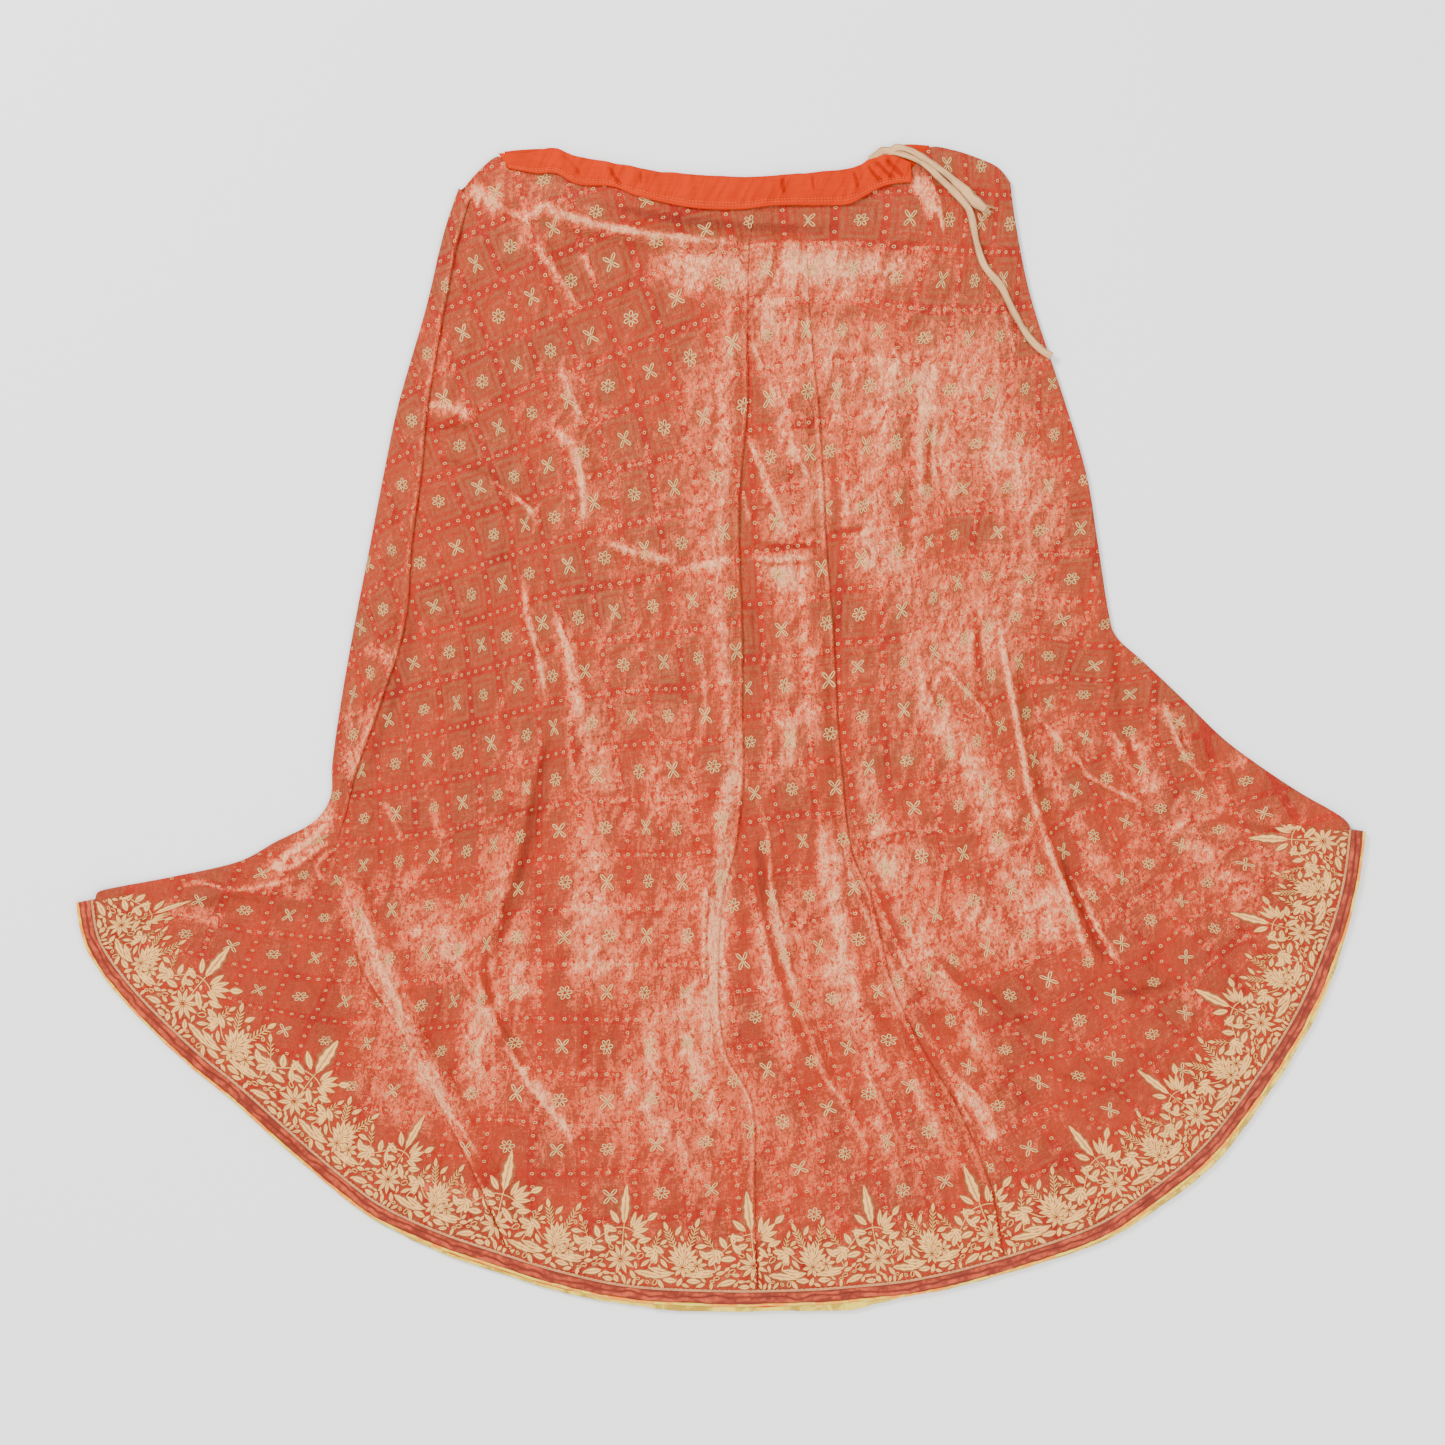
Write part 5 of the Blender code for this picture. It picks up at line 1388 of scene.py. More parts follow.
def tape_finish(colours):
    """Drawstring tape: a herringbone of thick cotton, with some grime, and painted shade in its lengthwise
    pleats and towards its edges.
    """
    f = Finish("drawstring_tape", colours.tape, 0.9)
    uv, along, side = f.uv()
    bone = (along * 4.6 + abs(side * 2.0) * 5.0).math("SINE") * 0.5 + 0.5
    rib = (side * 26.0).math("SINE") * 0.5 + 0.5
    grime = f.noise(f.position(), 60.0, 4.0)
    # Painted shade in the lengthwise pleats of the tape.
    pleat_shade = f.step(f.noise(uv, (0.05, 3.2, 1.0), 3.0), 0.44, 0.64)
    shade = bone * 0.16 + rib * 0.10 + pleat_shade * 0.34 + f.step(grime, 0.45, 0.75) * 0.25
    # Painted shade towards the tape's edges, where it turns under.
    shade = (shade + f.step(abs(side), 0.50, 0.95) * 0.6).math("MINIMUM", 1.0)
    colour = f.mix(shade, colours.tape, colours.tape_deep_and_shade)
    return f.finish(base_color=colour, normal=f.bump(bone + rib * 0.6 + grime * 0.5, 0.0005, 0.7))


def finish_of(name):
    """The finish of that name, made once."""
    if name in FINISHES:
        return FINISHES[name]
    colours = bpy.context.scene.lehenga_colours
    makers = {
        "tissue_silk": lambda: tissue_finish(colours),
        "thread": lambda: thread_finish("thread", colours.thread, colours.thread_deep_and_shade, 0.45),
        "border": lambda: thread_finish("border_thread", colours.border, colours.outline, 1.0),
        "braid": lambda: thread_finish("braid", colours.braid, colours.thread_deep_and_shade, 0.8),
        "stitch": lambda: thread_finish("stitch", colours.stitch, colours.band_deep_and_shade, 0.2),
        "band_cotton": lambda: cotton_finish("casing", colours.band, colours.band_deep_and_shade, 5200.0),
        "lining_cloth": lambda: cotton_finish("lining_weave", colours.lining, colours.band_deep_and_shade, 4200.0),
        "piping_cloth": lambda: piping_finish(colours),
        "edging_satin": lambda: satin_finish("satin", colours.satin, colours.satin_shade),
        "cord_satin": lambda: satin_finish("thin_cord_satin", colours.cord, colours.satin),
        "tape_cotton": lambda: tape_finish(colours),
    }
    FINISHES[name] = makers[name]()
    return FINISHES[name]


FINISHES = {}


def linear(red, green, blue):
    """A colour given as sRGB bytes, as linear values."""
    c = np.array([red, green, blue]) / 255.0
    return tuple(np.where(c <= 0.04045, c / 12.92, ((c + 0.055) / 1.055) ** 2.4).tolist())


# Properties


def colour_property(name, description, *rgb):
    return FloatVectorProperty(
        name=name, description=description, default=linear(*rgb), size=3, min=0.0, max=1.0, subtype="COLOR"
    )


class LehengaColours(bpy.types.PropertyGroup):
    silk: colour_property("Silk", "Warp of the tissue", 170, 38, 6)
    silk_deep: colour_property("Deep silk", "Warp where it is densest", 148, 26, 6)
    weft: colour_property("Weft", "Metallic weft of the woven frames", 150, 80, 44)
    sheen: colour_property("Sheen", "Tissue that catches the light", 228, 100, 62)
    sheen_bright: colour_property("Bright sheen", "Tissue that shines most", 252, 176, 128)
    shade: colour_property("Shade", "Cloth deep in a fold", 104, 22, 6)
    thread: colour_property("Thread", "Embroidery", 250, 214, 140)
    # The darker tone of thread and braid between their stitches, and their painted shade at the edges and
    # along the vein
    thread_deep_and_shade: colour_property("Deep thread", "Embroidery between its stitches", 122, 64, 30)
    border: colour_property("Border thread", "Embroidery of the border", 255, 192, 108)
    braid: colour_property("Braid", "Braid along the hem", 214, 146, 100)
    stitch: colour_property("Topstitch", "Stitches of the waistband", 240, 90, 24)
    band: colour_property("Waistband", "Cotton of the casing", 194, 46, 0)
    # The darker tone of the casing's and lining's cotton, and the painted shade in the casing's creases and
    # at the topstitches' edges
    band_deep_and_shade: colour_property("Deep waistband", "Cotton in its creases", 156, 28, 0)
    piping: colour_property("Piping", "Band over the hem's cords", 122, 40, 24)
    piping_lit: colour_property("Lit piping", "Crests of the hem's cords", 192, 78, 46)
    lining: colour_property("Lining", "Lining's hem", 210, 64, 10)
    satin: colour_property("Satin", "Edging of the lining", 238, 206, 62)
    # Painted shade of the satin edging's folds
    satin_shade: colour_property("Deep satin", "Edging in its folds", 176, 138, 26)
    cord: colour_property("Thin piping", "Cord at the hem's edge", 244, 134, 6)
    tape: colour_property("Tape", "Drawstring", 244, 190, 130)
    # The darker tone of the tape's weave and grime, and its painted shade in the pleats and towards its
    # edges
    tape_deep_and_shade: colour_property("Deep tape", "Drawstring in its weave", 144, 100, 74)
    # The darker tone of the border's stitches, and the painted shade at its leaves' edges and veins
    outline: colour_property("Outline thread", "Dark edges of the border's leaves", 142, 78, 42)


def length_property(name, description, metres):
    return FloatProperty(
        name=name, description=description, default=metres, unit="LENGTH", subtype="DISTANCE"
    )


class LehengaSizes(bpy.types.PropertyGroup):
    flower: length_property("Flower", "Width of a six-petalled motif", 0.0118)
    cross: length_property("Cross", "Width of a four-petalled motif", 0.0122)
    ring: length_property("Ring", "Width of a ring of the dotted lines", 0.0030)
    rings: IntProperty(name="Rings", description="Rings along one side of a cell", default=4, min=2, max=8)
    border_lift: length_property("Border lift", "Height of the border's stitches", 0.001)
    crush: FloatProperty(name="Crush", description="Depth of small wrinkles", default=1.0, min=0.0, max=3.0)
    floor: length_property("Floor", "Width of the floor", 7.0)


# Operators


class LehengaOperator:
    bl_options = {"REGISTER", "UNDO"}

    def execute(self, context):
        self.build(context.scene.lehenga_sizes)
        return {"FINISHED"}


class LEHENGA_OT_gores(LehengaOperator, bpy.types.Operator):
    """Lay the four lengths of the skirt's front"""

    bl_idname = "lehenga.gores"
    bl_label = "Gores"

    def build(self, sizes):
        GROUNDS["front"] = Ground()
        for name in GORES:
            grid, values, u = gore_plan(name, *CLOTH_GRID[name])
            height, painted_light = gore_top(name, grid, values, u)
            uv = Chart(CHARTS[name]).cell(grid)
            piece = add_cloth("cloth_" + name, grid, height, CLOTH_WALL, "tissue_silk", [name], uv, painted_light)
            declare_sheet(grid)
            GROUNDS[name] = Ground().lay(grid, height)
            GROUNDS["front"].lay(grid, height)


def back_plan(columns, rows):
    """The plan of the back: rows from the left side to the right side, bent to the waist and the hem."""
    t = np.linspace(0, 1, rows + 1)
    left = through([s[0:2] for s in SIDE_STATIONS], t * 18)
    right = through([s[2:4] for s in RIGHT_STATIONS], t * 16)
    left, right = shifted(left, -BACK_INSET), shifted(right, BACK_INSET)
    u = np.linspace(0, 1, columns + 1)
    grid = spanned(left, right, u)
    low_line = shifted(HEM, -(PIPING_WIDTH + BACK_INSET + SEAM))
    under_band = shifted(BACK_BAND, BAND_DEPTH + SEAM)
    corners = [(474, 181), (494, 166), (499, 178)], [(934, 162), (948, 156), (985, 169)]
    band = [left[0], *corners[0], *under_band, *corners[1], right[0]]
    low = [left[-1], *low_line[10:-10:30], right[-1]]
    near_band, near_hem = 1 - smoothstep(t / 0.14), smoothstep((t - 0.35) / 0.65)
    for points, weight, row in ((band, near_band, 0), (low, near_hem, -1)):
        straight = spanned(grid[row][:1], grid[row][-1:], u)[0]
        grid = grid + (even_curve(points, columns + 1) - straight)[None] * weight[:, None, None]
    return grid


class LEHENGA_OT_back(LehengaOperator, bpy.types.Operator):
    """Lay the skirt's back, which rests on the surface and is seen from below"""

    bl_idname = "lehenga.back"
    bl_label = "Back"

    def build(self, sizes):
        grid = back_plan(140, 190)
        to_hem, _ = nearest_on(grid, HEM_COARSE)
        fine = strokes(grid, BACK_FOLDS) + 0.26 * sizes.crush * (1.0 + crushed(grid[..., ::-1]) * 0.8)
        height = 0.55 + np.clip(fine, -0.2, 0.8) * smoothstep((to_hem - 14.0) / 20.0)
        # The back's shine value is painted into its colour, as sheen above 0 and shade below: from its
        # strokes and its lean to the upper left.
        glow = 0.55 * strokes(grid, BACK_SHINES)
        shine = 0.22 + glow + (0.3 + np.clip(glow, 0, 1)) * np.clip(LEAN * leaning(grid, fine), -0.8, 0.8)
        piece = add_cloth(
            "cloth_back_panel", grid, height, 0.7, "tissue_silk", ["back_panel"], BackChart().cell(grid),
            {"shine": np.clip(shine, -1.2, 1.5)}, flipped=True,
        )
        declare_sheet(grid, 1.01)
        GROUNDS["back_panel"] = Ground().lay(grid, height, 6)


class LEHENGA_OT_waistband(LehengaOperator, bpy.types.Operator):
    """Lay the waistband's casing, its gathers and its topstitching"""

    bl_idname = "lehenga.waistband"
    bl_label = "Waistband"

    def build(self, sizes):
        columns, rows = 420, 24
        upper, lower = even_curve(BAND_TOP, columns + 1), even_curve(BAND_BOTTOM, columns + 1)
        upper = shifted(upper, 0.9 * noise(upper, (15.0, 90.0), 24) + 0.15 * noise(upper, (6.0, 90.0), 25))
        v = np.linspace(0, 1, rows + 1)[:, None, None]
        grid = upper[None] * (1 - v) + lower[None] * v
        high, low = FRONT_REST + CLOTH_WALL + 2 * LAYER_GAP, BAND_BACK_THICK + 2 * LAYER_GAP
        rest = low + (high - low) * smoothstep(v[..., 0] * 1.6)
        gathers = sum(bump((grid[..., 0] - x) / GATHER_HALF) for x in BAND_GATHERS)
        ruffle = GATHER_RISE * np.minimum(gathers, 1.0) * smoothstep(1.4 * (1 - v[..., 0]))
        slanted = grid + paired((grid[..., 1] - 180.0) * 0.5, 0 * grid[..., 1])
        sharp = 0.5 * ridges(slanted, (9.0, 40.0), 21) + 0.3 * ridges(slanted, (5.0, 30.0), 22)
        creases = strokes(grid, BAND_CREASES)
        fade = smoothstep((1 - v[..., 0]) * 4.0) * smoothstep(v[..., 0] * 6.0 + 0.3)
        seam = -0.35 * (bump((v[..., 0] - 0.80) / 0.05) + bump((v[..., 0] - 0.90) / 0.05))
        height = rest + ruffle + BAND_THICK + fade * (0.8 * sharp + 1.1 * creases) + seam
        # Painted shade for the casing's colour: below 0 in crease troughs, between sharp wrinkles and along
        # the two sunk seams.
        painted_light = {"crease": fade * (creases + 0.2 * (sharp - 0.4)) + 1.4 * seam}
        piece = add_cloth(
            "band_front", grid, height, BAND_THICK, "band_cotton", ["waistband_front"], grid * 0.1, painted_light
        )
        declare_sheet(grid, 1.06)
        self.stitch(grid, Ground().lay(grid, height))
        self.back()

    def back(self):
        """The casing's back: its underside shows from below, and its upper side at both ends."""
        upper = even_curve(BACK_BAND_TOP, 300)
        v = np.linspace(0, 1, 13)[:, None, None]
        grid = upper[None] * (1 - v) + shifted(upper, BAND_DEPTH)[None] * v
        crease = 0.2 * ridges(grid, (9.0, 60.0), 23)
        for name, height, flipped, nodes in (
            ("band_back_under", 0.25 + 0.25 * (1 + crease), True, ["waistband_back"]),
            ("band_back_upper", BAND_BACK_THICK + 0.1 * crease, False, []),
        ):
            piece = add_cloth(name, grid, height, 0.8, "band_cotton", nodes, grid * 0.1, {}, flipped)
            declare_sheet(grid, 1.04)

    def stitch(self, grid, ground):
        """Two rows of topstitching above the casing's lower edge, each stitch a small pad of thread."""
        pad = leaf(2.3, 0.75, 0.28, 0.0, 3)
        parts = []
        for share in (0.80, 0.90):
            line = grid[int(share * (len(grid) - 1))]
            along = lengths_along(line)
            at = np.arange(2.0, along[-1] - 4.0, 3.3)
            ways = sampled(np.gradient(line, axis=0), at, along)
            ways /= np.linalg.norm(ways, axis=1)[:, None]
            parts.append(draped(stamped(pad, sampled(line, at, along), ways), ground))
        add_laid("band_topstitch", parts, "stitch")


def stamped(shape, centres, across, down=None):
    """A shape at each of the centres, its x along across and its y along down."""
    if down is None:
        down = np.stack([across[:, 1], -across[:, 0]], axis=1)
    size = shape.xy * PER_MM
    xy = centres[:, None] + size[None, :, :1] * across[:, None] + size[None, :, 1:] * down[:, None]
    count = len(centres)
    quads = shape.quads[None] + (np.arange(count) * len(shape.xy))[:, None, None]
    lift, uv = np.tile(shape.lift, count), np.tile(shape.uv, (count, 1))
    return Shape(xy.reshape(-1, 2), lift, quads.reshape(-1, 4), uv)


def draped(shape, ground, over=None, sign=1.0):
    """The points of a shape laid on a ground, without the quads that lie off it or under another cloth."""
    z = ground.read(shape.xy)
    good = np.isfinite(z)
    if over is not None:
        good &= z >= over.read(shape.xy) - COVERED
    kept = shape.quads[good[shape.quads].all(axis=1)]
    used = np.unique(kept)
    index = np.zeros(len(z), int)
    index[used] = np.arange(len(used))
    points = placed(shape.xy[used], z[used] + sign * shape.lift[used])
    return points, index[kept], shape.uv[used]


def turned_up(points, quads):
    """For each quad a number above 0 where it faces up, and below 0 where it faces down."""
    a, b, c, _ = (points[quads[:, k]] for k in range(4))
    return (b[:, 0] - a[:, 0]) * (c[:, 1] - a[:, 1]) - (b[:, 1] - a[:, 1]) * (c[:, 0] - a[:, 0])


def add_laid(name, parts, finish, upwards=True):
    """One object of several draped shapes, each of its quads turned to face up or down."""
    starts = np.cumsum([0] + [len(part[0]) for part in parts[:-1]])
    points = np.concatenate([part[0] for part in parts])
    quads = np.concatenate([part[1] + start for part, start in zip(parts, starts)])
    right = (turned_up(points, quads) > 0) == upwards
    quads = np.where(right[:, None], quads, quads[:, ::-1])
    uv = np.concatenate([part[2] for part in parts])
    return add_piece(name, points, quads, finish_of(finish), (), uv)


def border_height(xy):
    """How far in from the hem line the border's sprays reach at each place, in drawing units."""
    _, share = nearest_on(xy, HEM_COARSE)
    at = share * HEM_LENGTH
    large = sum(bump((at - s) / 42.0) for s in SPRAYS_AT)
    small = sum(bump((at - s) / 40.0) for s in (np.array(SPRAYS_AT[1:]) + np.array(SPRAYS_AT[:-1])) / 2)
    return BORDER_HEIGHT + LARGE_SPRAY * large + SMALL_SPRAY * small


def grid_ways(chart, cells, centres):
    """The ways across and down the woven grid, each as long as the cell there is against a flat one."""
    step = 0.15
    across = (chart.place(cells + [step, 0.0]) - centres) / step / CELL[0]
    down = (centres - chart.place(cells + [0.0, step])) / step / CELL[1]
    for way in (across, down):
        size = np.linalg.norm(way, axis=1)[:, None]
        way *= np.clip(size, 0.72, 1.12) / np.maximum(size, 1e-6)
    return across, down


def motif_parts(name, chart, ground, over, odd, sizes, seen, sign=1.0, columns=(-12, 14), rows=(-14, 22)):
    """The draped motifs and rings of one piece of cloth, each a little out of true.

    seen holds the places of the motifs laid so far: one that comes close to another at a seam, without
    being the same one, is left out.
    """
    rng = np.random.default_rng(len(name))
    p, q = np.meshgrid(np.arange(*columns), np.arange(*rows))
    cells = np.stack([p.ravel(), q.ravel()], axis=1).astype(float)
    n = sizes.rings
    fineness = 6 if sign > 0 else 4
    steps = np.arange(n) / n - 0.5
    rows_of_rings = (cells[:, None] + paired(steps, -0.5)[None]).reshape(-1, 2)
    columns_of_rings = (cells[:, None] + paired(-0.5, steps[1:])[None]).reshape(-1, 2)
    rings = np.concatenate([rows_of_rings, columns_of_rings])
    flower = ((p + q) % 2 == odd).ravel()
    parts, found = [], []
    for shape, some, room in (
        (motif_flower(sizes.flower / MM, fineness), cells[flower], MOTIF_ROOM),
        (motif_cross(sizes.cross / MM, fineness), cells[~flower], MOTIF_ROOM),
        (motif_ring(sizes.ring / MM, fineness), rings, RING_ROOM),
    ):
        centres = chart.place(some)
        inside = np.isfinite(ground.read(centres))
        if isinstance(chart, Chart):
            apart = np.abs(chart.cell(centres) - some).max(axis=1)
            inside &= apart < 0.06
            known = np.linalg.norm(centres[:, None] - chart.places[None], axis=2).min(axis=1)
            inside &= known < 95.0
        some, centres = some[inside], centres[inside]
        to_hem, _ = nearest_on(centres, HEM_COARSE)
        bare = to_hem > border_height(centres) + room - 4.0
        if over is not None:
            bare &= ground.read(centres) >= over.read(centres) - COVERED
        if room == MOTIF_ROOM and seen:
            near = np.linalg.norm(centres[:, None] - np.concatenate(seen)[None], axis=2)
            bare &= ~((near > MOTIF_APART[0]) & (near < MOTIF_APART[1])).any(axis=1)
        some, centres = some[bare], centres[bare]
        if room == MOTIF_ROOM:
            found.append(centres)
        across, down = grid_ways(chart, some, centres)
        loose = rng.normal(0, 1, (4, len(centres)))
        centres = centres + 0.3 * loose[:2].T * (1.6 if room == MOTIF_ROOM else 1.0)
        across, down = across * (1 + 0.06 * loose[2][:, None]), down * (1 + 0.06 * loose[3][:, None])
        lift = shape._replace(lift=shape.lift * (1.0 if sign > 0 else 0.5))
        parts.append(draped(stamped(lift, centres, across, down), ground, over, sign))
    seen += found
    return parts


class LEHENGA_OT_motifs(LehengaOperator, bpy.types.Operator):
    """Embroider the motifs and the dotted lines of the grid, on the front and the back"""

    bl_idname = "lehenga.motifs"
    bl_label = "Motifs"

    def build(self, sizes):
        front, seen = [], []
        for name in ("front_left_gore", "front_right_gore", "front_centre_gore", "side_piece_left"):
            front += motif_parts(
                name, Chart(CHARTS[name]), GROUNDS[name], GROUNDS["front"], FLOWER_ON_ODD[name], sizes, seen
            )
        add_laid("motifs_front", front, "thread")
        back = motif_parts(
            "back_panel", BackChart(), GROUNDS["back_panel"], None, 1, sizes, [], -1.0, (-22, 23), (-4, 24)
        )
        add_laid("motifs_back", back, "thread", upwards=False)


def smoothed(values, width):
    """The running mean of the values over an odd number of them."""
    return np.convolve(np.pad(values, width // 2, mode="edge"), np.ones(width) / width, "valid")


def along_hem(shape, inset):
    """A repeat of the border laid along the hem, between each two places of the large sprays."""
    places = np.arange(HEM_LENGTH + 1)
    line = even_curve(HEM_LINE, len(places))
    outward = sideways(line)
    inward = np.stack([smoothed(-outward[:, k], 61) for k in range(2)], axis=1)
    inward /= np.linalg.norm(inward, axis=1)[:, None]
    made = []
    for k in range(len(SPRAYS_AT)):
        at = np.interp(k + shape.xy[:, 0] / REPEAT, np.arange(len(SPRAYS_AT)), SPRAYS_AT)
        xy = sampled(line, at, places) + sampled(inward, at, places) * (inset + shape.xy[:, 1:] * PER_MM)
        xy[(at <= 1.0) | (at >= HEM_LENGTH - 1.0)] = -9.0
        made.append(shape._replace(xy=xy))
    return made


class LEHENGA_OT_border(LehengaOperator, bpy.types.Operator):
    """Embroider the floral border and lay the braid below it, on the front and the back"""

    bl_idname = "lehenga.border"
    bl_label = "Border"

    def build(self, sizes):
        spray = border_repeat(sizes.border_lift / MM)
        low = spray._replace(lift=spray.lift * 0.45)
        laid = along_hem(spray, PIPING_WIDTH + 5.0)
        front = [draped(part, GROUNDS[name], GROUNDS["front"]) for name in GORES for part in laid]
        laid = along_hem(low, PIPING_WIDTH + BACK_INSET + 5.0)
        back = [draped(part, GROUNDS["back_panel"], None, -1.0) for part in laid]
        for name, parts, upwards in (("border_front", front, True), ("border_back", back, False)):
            add_laid(name, [part for part in parts if len(part[1])], "border", upwards)
        self.braid("braid_front", PIPING_WIDTH + 1.0, FRONT_REST + LINING_RISE + CLOTH_WALL, 1.0)
        self.braid("braid_back", PIPING_WIDTH + BACK_INSET + 1.0, 0.55, -0.5)

    def braid(self, name, inset, base, sign):
        """A plaited braid: a strip whose height and edges swell by turns, two plaits out of step."""
        line = even_curve(HEM_LINE, 1900)
        u = np.linspace(0, 1, 6)[None]
        t = np.arange(len(line))[:, None]
        swell = np.sin(t * 1.15 + np.where(u > 0.5, np.pi, 0.0)) * 0.5 + 0.5
        width = 3.3 + 0.35 * np.sin(t * 1.15)
        offset = inset + width * u
        dome = np.sin(np.pi * np.clip(u, 0.04, 0.96)) ** 0.5
        height = base + sign * (0.15 + 0.9 * dome * (0.6 + 0.4 * swell))
        points = placed(railed(line, -offset.T), height)
        add_grid(name, points, paired(t * 0.9, 2 * u - 1), "braid", (), sign > 0)


class LEHENGA_OT_hem(LehengaOperator, bpy.types.Operator):
    """Lay the hem: corded piping, the thin cord at its edge, and the lining's hem with its satin edging"""

    bl_idname = "lehenga.hem"
    bl_label = "Hem"

    def build(self, sizes):
        rest = FRONT_REST + LINING_RISE
        self.piping("piping_front", 0.0, rest, rest + PIPING_THICK, "hem_piping_front", False)
        self.piping("piping_back", BACK_INSET, BACK_WALL, 0.1, "hem_piping_back", True)
        self.thin_cord(rest)
        peeks = np.array(PEEKS, float)
        line = even_curve(HEM_LINE, 900)
        share = np.linspace(0, 1, len(line))
        wave = 0.5 * noise(line, 9.0, 31) + 0.4 * noise(line, 23.0, 32)
        orange = np.interp(share, peeks[:, 0], peeks[:, 1])
        edging = np.interp(share, peeks[:, 0], peeks[:, 2])
        outer = orange + 0.4 * wave
        self.strip("lining", "lining_hem", -LINING_IN, outer, "lining_cloth", line, wave, 10.0)
        inner = np.minimum(orange, edging - 1.0)
        self.strip("edging", "lining_edging", inner, edging + wave, "edging_satin", line, wave, 8.0)

    def piping(self, name, inset, low, high, node, flipped):
        """Two cords side by side under a band: its height is a pair of half circles over its width."""
        line = even_curve(HEM_LINE, 1200)
        along = np.linspace(0, HEM_LENGTH, len(line))
        wave = 0.7 * noise(line, 13.0, 41) + 0.4 * noise(line, 5.0, 42)
        u = np.linspace(0, 1, 13)[None]
        slack = 1.7 * noise(line, 21.0, 44) + 0.8 * noise(line, 9.0, 45)
        offset = inset + (PIPING_WIDTH + 1.2) * (1 - u) + wave[:, None] * u
        offset = offset + slack[:, None] * np.sin(np.pi * u)
        lobes = np.sqrt(np.abs(np.sin(2 * np.pi * np.clip(u, 0.015, 0.985))))
        puckers = (0.07 * np.sin(along * 0.9) + 0.16 * noise(line, 8.0, 43))[:, None] * lobes
        height = low + (high - low) * np.clip(0.40 + 0.56 * lobes + puckers, 0.0, 1.05)
        uv = widened(paired(along[:, None] * 0.9, 2 * u - 1))
        points = turned_edge(placed(railed(line, -offset.T), height), (high - low) * 0.8 * MM)
        add_grid(name, points, uv, "piping_cloth", [node], not flipped)

    def thin_cord(self, rest):
        """A thin cord along the front's hem line: five sides of a tube, in yellow satin."""
        line = even_curve(HEM_LINE, 1100)
        wave = 0.5 * noise(line, 13.0, 51)
        turn = np.linspace(0.0, np.pi, 6)
        middle = shifted(line, 1.3 + wave)
        height = rest - 0.7 + 1.7 * np.sin(turn)[None]
        points = placed(railed(middle, -2.0 * np.cos(turn)), height)
        uv = paired(np.linspace(0, 1500.0, len(line))[:, None], turn[None] / np.pi)
        add_grid("thin_cord", points, uv, "cord_satin")

    def strip(self, name, node, inner, outer, finish, line, wave, threads):
        """A strip of cloth under the piping, its edge a little wavy and turned."""
        u = np.linspace(0, 1, 5)
        grid = railed(line, [inner * (1 - v) + outer * v for v in u])
        height = FRONT_REST + CLOTH_WALL * 0.8 + 0.25 * wave[:, None] * u[None]
        points = turned_edge(placed(grid, height), CLOTH_WALL * 0.8 * MM)
        uv = widened(paired(np.linspace(0, 1500.0, len(line))[:, None], u[None] * threads))
        piece = add_grid(name, points, uv, finish, [node])
        declare_sheet(np.swapaxes(grid, 0, 1), 1.01)


def tape_route(strand, count):
    """The middle of a strand of the drawstring: its plan, and its height on the cloth.

    It starts inside the casing, past the place where the solid does.
    """
    first = np.array(strand.points[0], float)
    route = even_curve([tuple(first + [-15.0, 9.5]), tuple(first + [-7.0, 4.0]), *strand.points], count)
    share = np.linspace(0, 1, count)
    rise = np.interp(share, np.linspace(0, 1, len(strand.rise)), strand.rise)
    to_band, _ = nearest_on(route, TOP_EDGES["front_right_gore"])
    ground = FRONT_REST + CLOTH_WALL + smoothstep((to_band - 12.0) / SETTLE) * relief(route)
    middle = ground + TAPE_CLEAR + rise + TAPE_THICK / 2
    casing = BAND_BACK_THICK + 2 * LAYER_GAP + BAND_THICK / 2
    middle = casing + (middle - casing) * smoothstep((share * strand.width * 14 - 9.0) / 12.0)
    smooth = smoothed(middle, max(3, count // 12) | 1)
    return route, np.maximum(smooth, middle - 0.3)


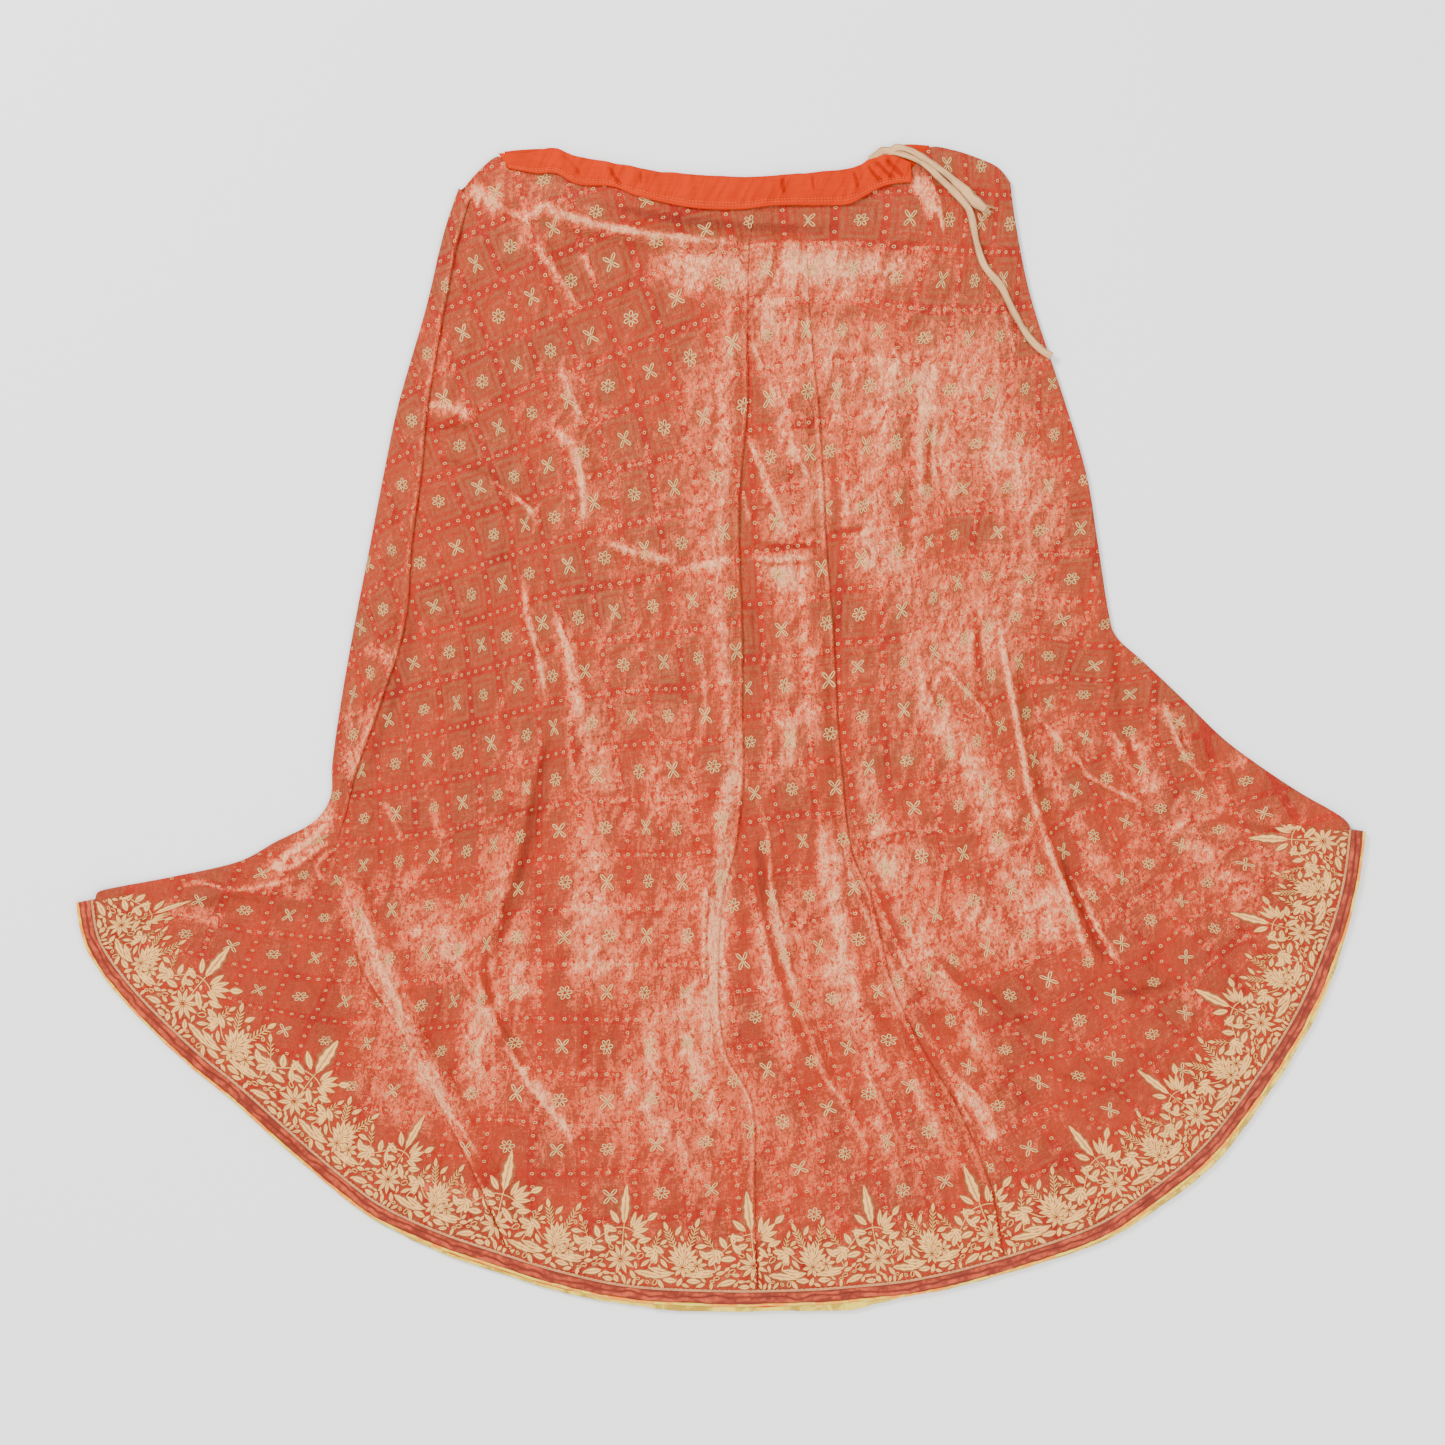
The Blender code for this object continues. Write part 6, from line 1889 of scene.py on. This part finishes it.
class LEHENGA_OT_drawstring(LehengaOperator, bpy.types.Operator):
    """Lay the two free strands of the drawstring, and the frayed end of the short one"""

    bl_idname = "lehenga.drawstring"
    bl_label = "Drawstring"

    def build(self, sizes):
        for name, strand in STRANDS.items():
            count = 260 if name == "drawstring_long" else 120
            route, middle = tape_route(strand, count)
            share = np.linspace(0, 1, count)
            uneven = 1.0 + 0.08 * np.sin(share * 21.0) + 0.05 * np.sin(share * 57.0)
            half = strand.width / 2 * PER_MM * uneven
            if name == "drawstring_short":
                half = half * (1.0 + 0.75 * bump((share - 0.85) / 0.20))
            turn = np.linspace(0, 2 * np.pi, 17)
            flat = np.sign(np.cos(turn)) * np.abs(np.cos(turn)) ** 0.6
            high = np.sign(np.sin(turn)) * np.abs(np.sin(turn)) ** 0.8
            twist = 0.35 * np.sin(share * 9.0 + 0.6)
            height = middle[:, None] + TAPE_THICK / 2 * high[None] + twist[:, None] * flat[None]
            points = placed(railed(route, [half * f for f in flat]), height)
            ends = [np.tile(points[k].mean(0), (1, len(turn), 1)) for k in (0, -1)]
            points = np.concatenate([ends[0], points, ends[1]])
            along = np.concatenate([[0], share, [1]]) * count * 0.95
            uv = paired(along[:, None], flat[None]).reshape(-1, 2)
            quads = quads_of(*points.shape[:2], flipped=True)
            points, finish = points.reshape(-1, 3), finish_of("tape_cotton")
            piece = add_piece(name + "_tape", points, quads, finish, [name], uv)
            line = placed(route, middle)
            step = max(1, count // 40)
            last = [] if np.allclose(line[::step][-1], line[-1]) else [line[-1:]]
            line = np.concatenate([line[::step], *last])
            extra = [self.fray(route, middle)] if name == "drawstring_short" else []
            strand.width * MM

    def fray(self, route, middle):
        """Loose threads at the short strand's end: thin ribbons that fan out and droop to the cloth."""
        rng = np.random.default_rng(9)
        end, way = route[-1], route[-1] - route[-6]
        way = way / np.linalg.norm(way)
        side = np.array([-way[1], way[0]])
        parts = []
        for _ in range(FRAYED_THREADS):
            start = end - way * 2.0 + side * rng.uniform(-4.2, 4.2)
            length, lean = rng.uniform(4.0, 11.0), rng.uniform(-0.55, 0.55)
            t = np.linspace(0, 1, 6)
            bend = rng.uniform(-1.5, 1.5)
            sway = t * length * lean + bend * np.sin(3 * t)
            line = start + np.outer(t * length, way) + np.outer(sway, side)
            grid = railed(line, (-0.28, 0.0, 0.28))
            fall = middle[-1] - FRONT_REST - CLOTH_WALL - 1.6
            drop = middle[-1] - fall * smoothstep(t) + rng.uniform(-0.3, 0.4)
            rise = np.array([[0.0, 0.25, 0.0]]) + drop[:, None]
            uv = paired(t[:, None] * 8.0, np.array([[-0.5, 0.0, 0.5]]))
            parts.append((placed(grid, rise).reshape(-1, 3), quads_of(6, 3), uv.reshape(-1, 2)))
        return add_laid("drawstring_short_fray", parts, "tape_cotton")


class LEHENGA_OT_stage(LehengaOperator, bpy.types.Operator):
    """Set the pale floor, the soft lights and the camera straight above"""

    bl_idname = "lehenga.stage"
    bl_label = "Stage"

    def build(self, sizes):
        half = sizes.floor / 2
        corners = [(x * half, y * half, -0.0008) for x, y in ((-1, -1), (1, -1), (1, 1), (-1, 1))]
        mesh = bpy.data.meshes.new("floor")
        mesh.from_pydata(corners, [], [(0, 1, 2, 3)])
        mesh.materials.append(Finish("floor_paper", (0.97, 0.97, 0.965), 0.9).material)
        linked("floor", mesh)
        for name, place, size, power in (
            ("key", (-2.2, 2.0, 2.3), 1.1, 180.0),
            ("fill", (1.9, -0.6, 2.6), 2.6, 60.0),
            ("low", (0.2, -2.4, 1.6), 2.0, 25.0),
        ):
            data = bpy.data.lights.new(name, "AREA")
            data.shape, data.size, data.energy = "DISK", size, power
            light = linked(name, data)
            light.location = place
            turn = np.array(place) / np.linalg.norm(place)
            spin = float(np.arctan2(turn[1], turn[0]) + np.pi / 2)
            light.rotation_euler = (float(np.arccos(turn[2])), 0.0, spin)
        world = bpy.data.worlds.new("studio")
        world.use_nodes = True
        sky = world.node_tree.nodes["Background"].inputs
        sky["Color"].default_value = (1.0, 1.0, 1.0, 1.0)
        sky["Strength"].default_value = 1.15
        bpy.context.scene.world = world
        data = bpy.data.cameras.new("camera")
        data.lens = 85.0
        camera = linked("camera", data)
        camera.location = (0.0018, 0.004, 3.06)
        bpy.context.scene.camera = camera


class LEHENGA_PT_panel(bpy.types.Panel):
    bl_idname = "LEHENGA_PT_panel"
    bl_label = "Lehenga Skirt"
    bl_space_type = "VIEW_3D"
    bl_region_type = "UI"
    bl_category = "Lehenga"

    def draw(self, context):
        for group in (context.scene.lehenga_sizes, context.scene.lehenga_colours):
            for key in group.__annotations__:
                self.layout.prop(group, key)
        for operator in OPERATORS:
            self.layout.operator(operator.bl_idname)


OPERATORS = (
    LEHENGA_OT_gores,
    LEHENGA_OT_back,
    LEHENGA_OT_waistband,
    LEHENGA_OT_hem,
    LEHENGA_OT_motifs,
    LEHENGA_OT_border,
    LEHENGA_OT_drawstring,
    LEHENGA_OT_stage,
)
CLASSES = (LehengaColours, LehengaSizes, *OPERATORS, LEHENGA_PT_panel)


def register():
    for cls in CLASSES:
        bpy.utils.register_class(cls)
    bpy.types.Scene.lehenga_colours = PointerProperty(type=LehengaColours)
    bpy.types.Scene.lehenga_sizes = PointerProperty(type=LehengaSizes)


def unregister():
    del bpy.types.Scene.lehenga_sizes
    del bpy.types.Scene.lehenga_colours
    for cls in reversed(CLASSES):
        bpy.utils.unregister_class(cls)


def plain(box):
    """A box as lists of numbers."""
    return [[float(x) for x in corner] for corner in box]


def main():
    register()
    bpy.ops.lehenga.gores()
    bpy.ops.lehenga.back()
    bpy.ops.lehenga.waistband()
    bpy.ops.lehenga.hem()
    bpy.ops.lehenga.motifs()
    bpy.ops.lehenga.border()
    bpy.ops.lehenga.drawstring()
    bpy.ops.lehenga.stage()


if __name__ == "__main__":
    main()
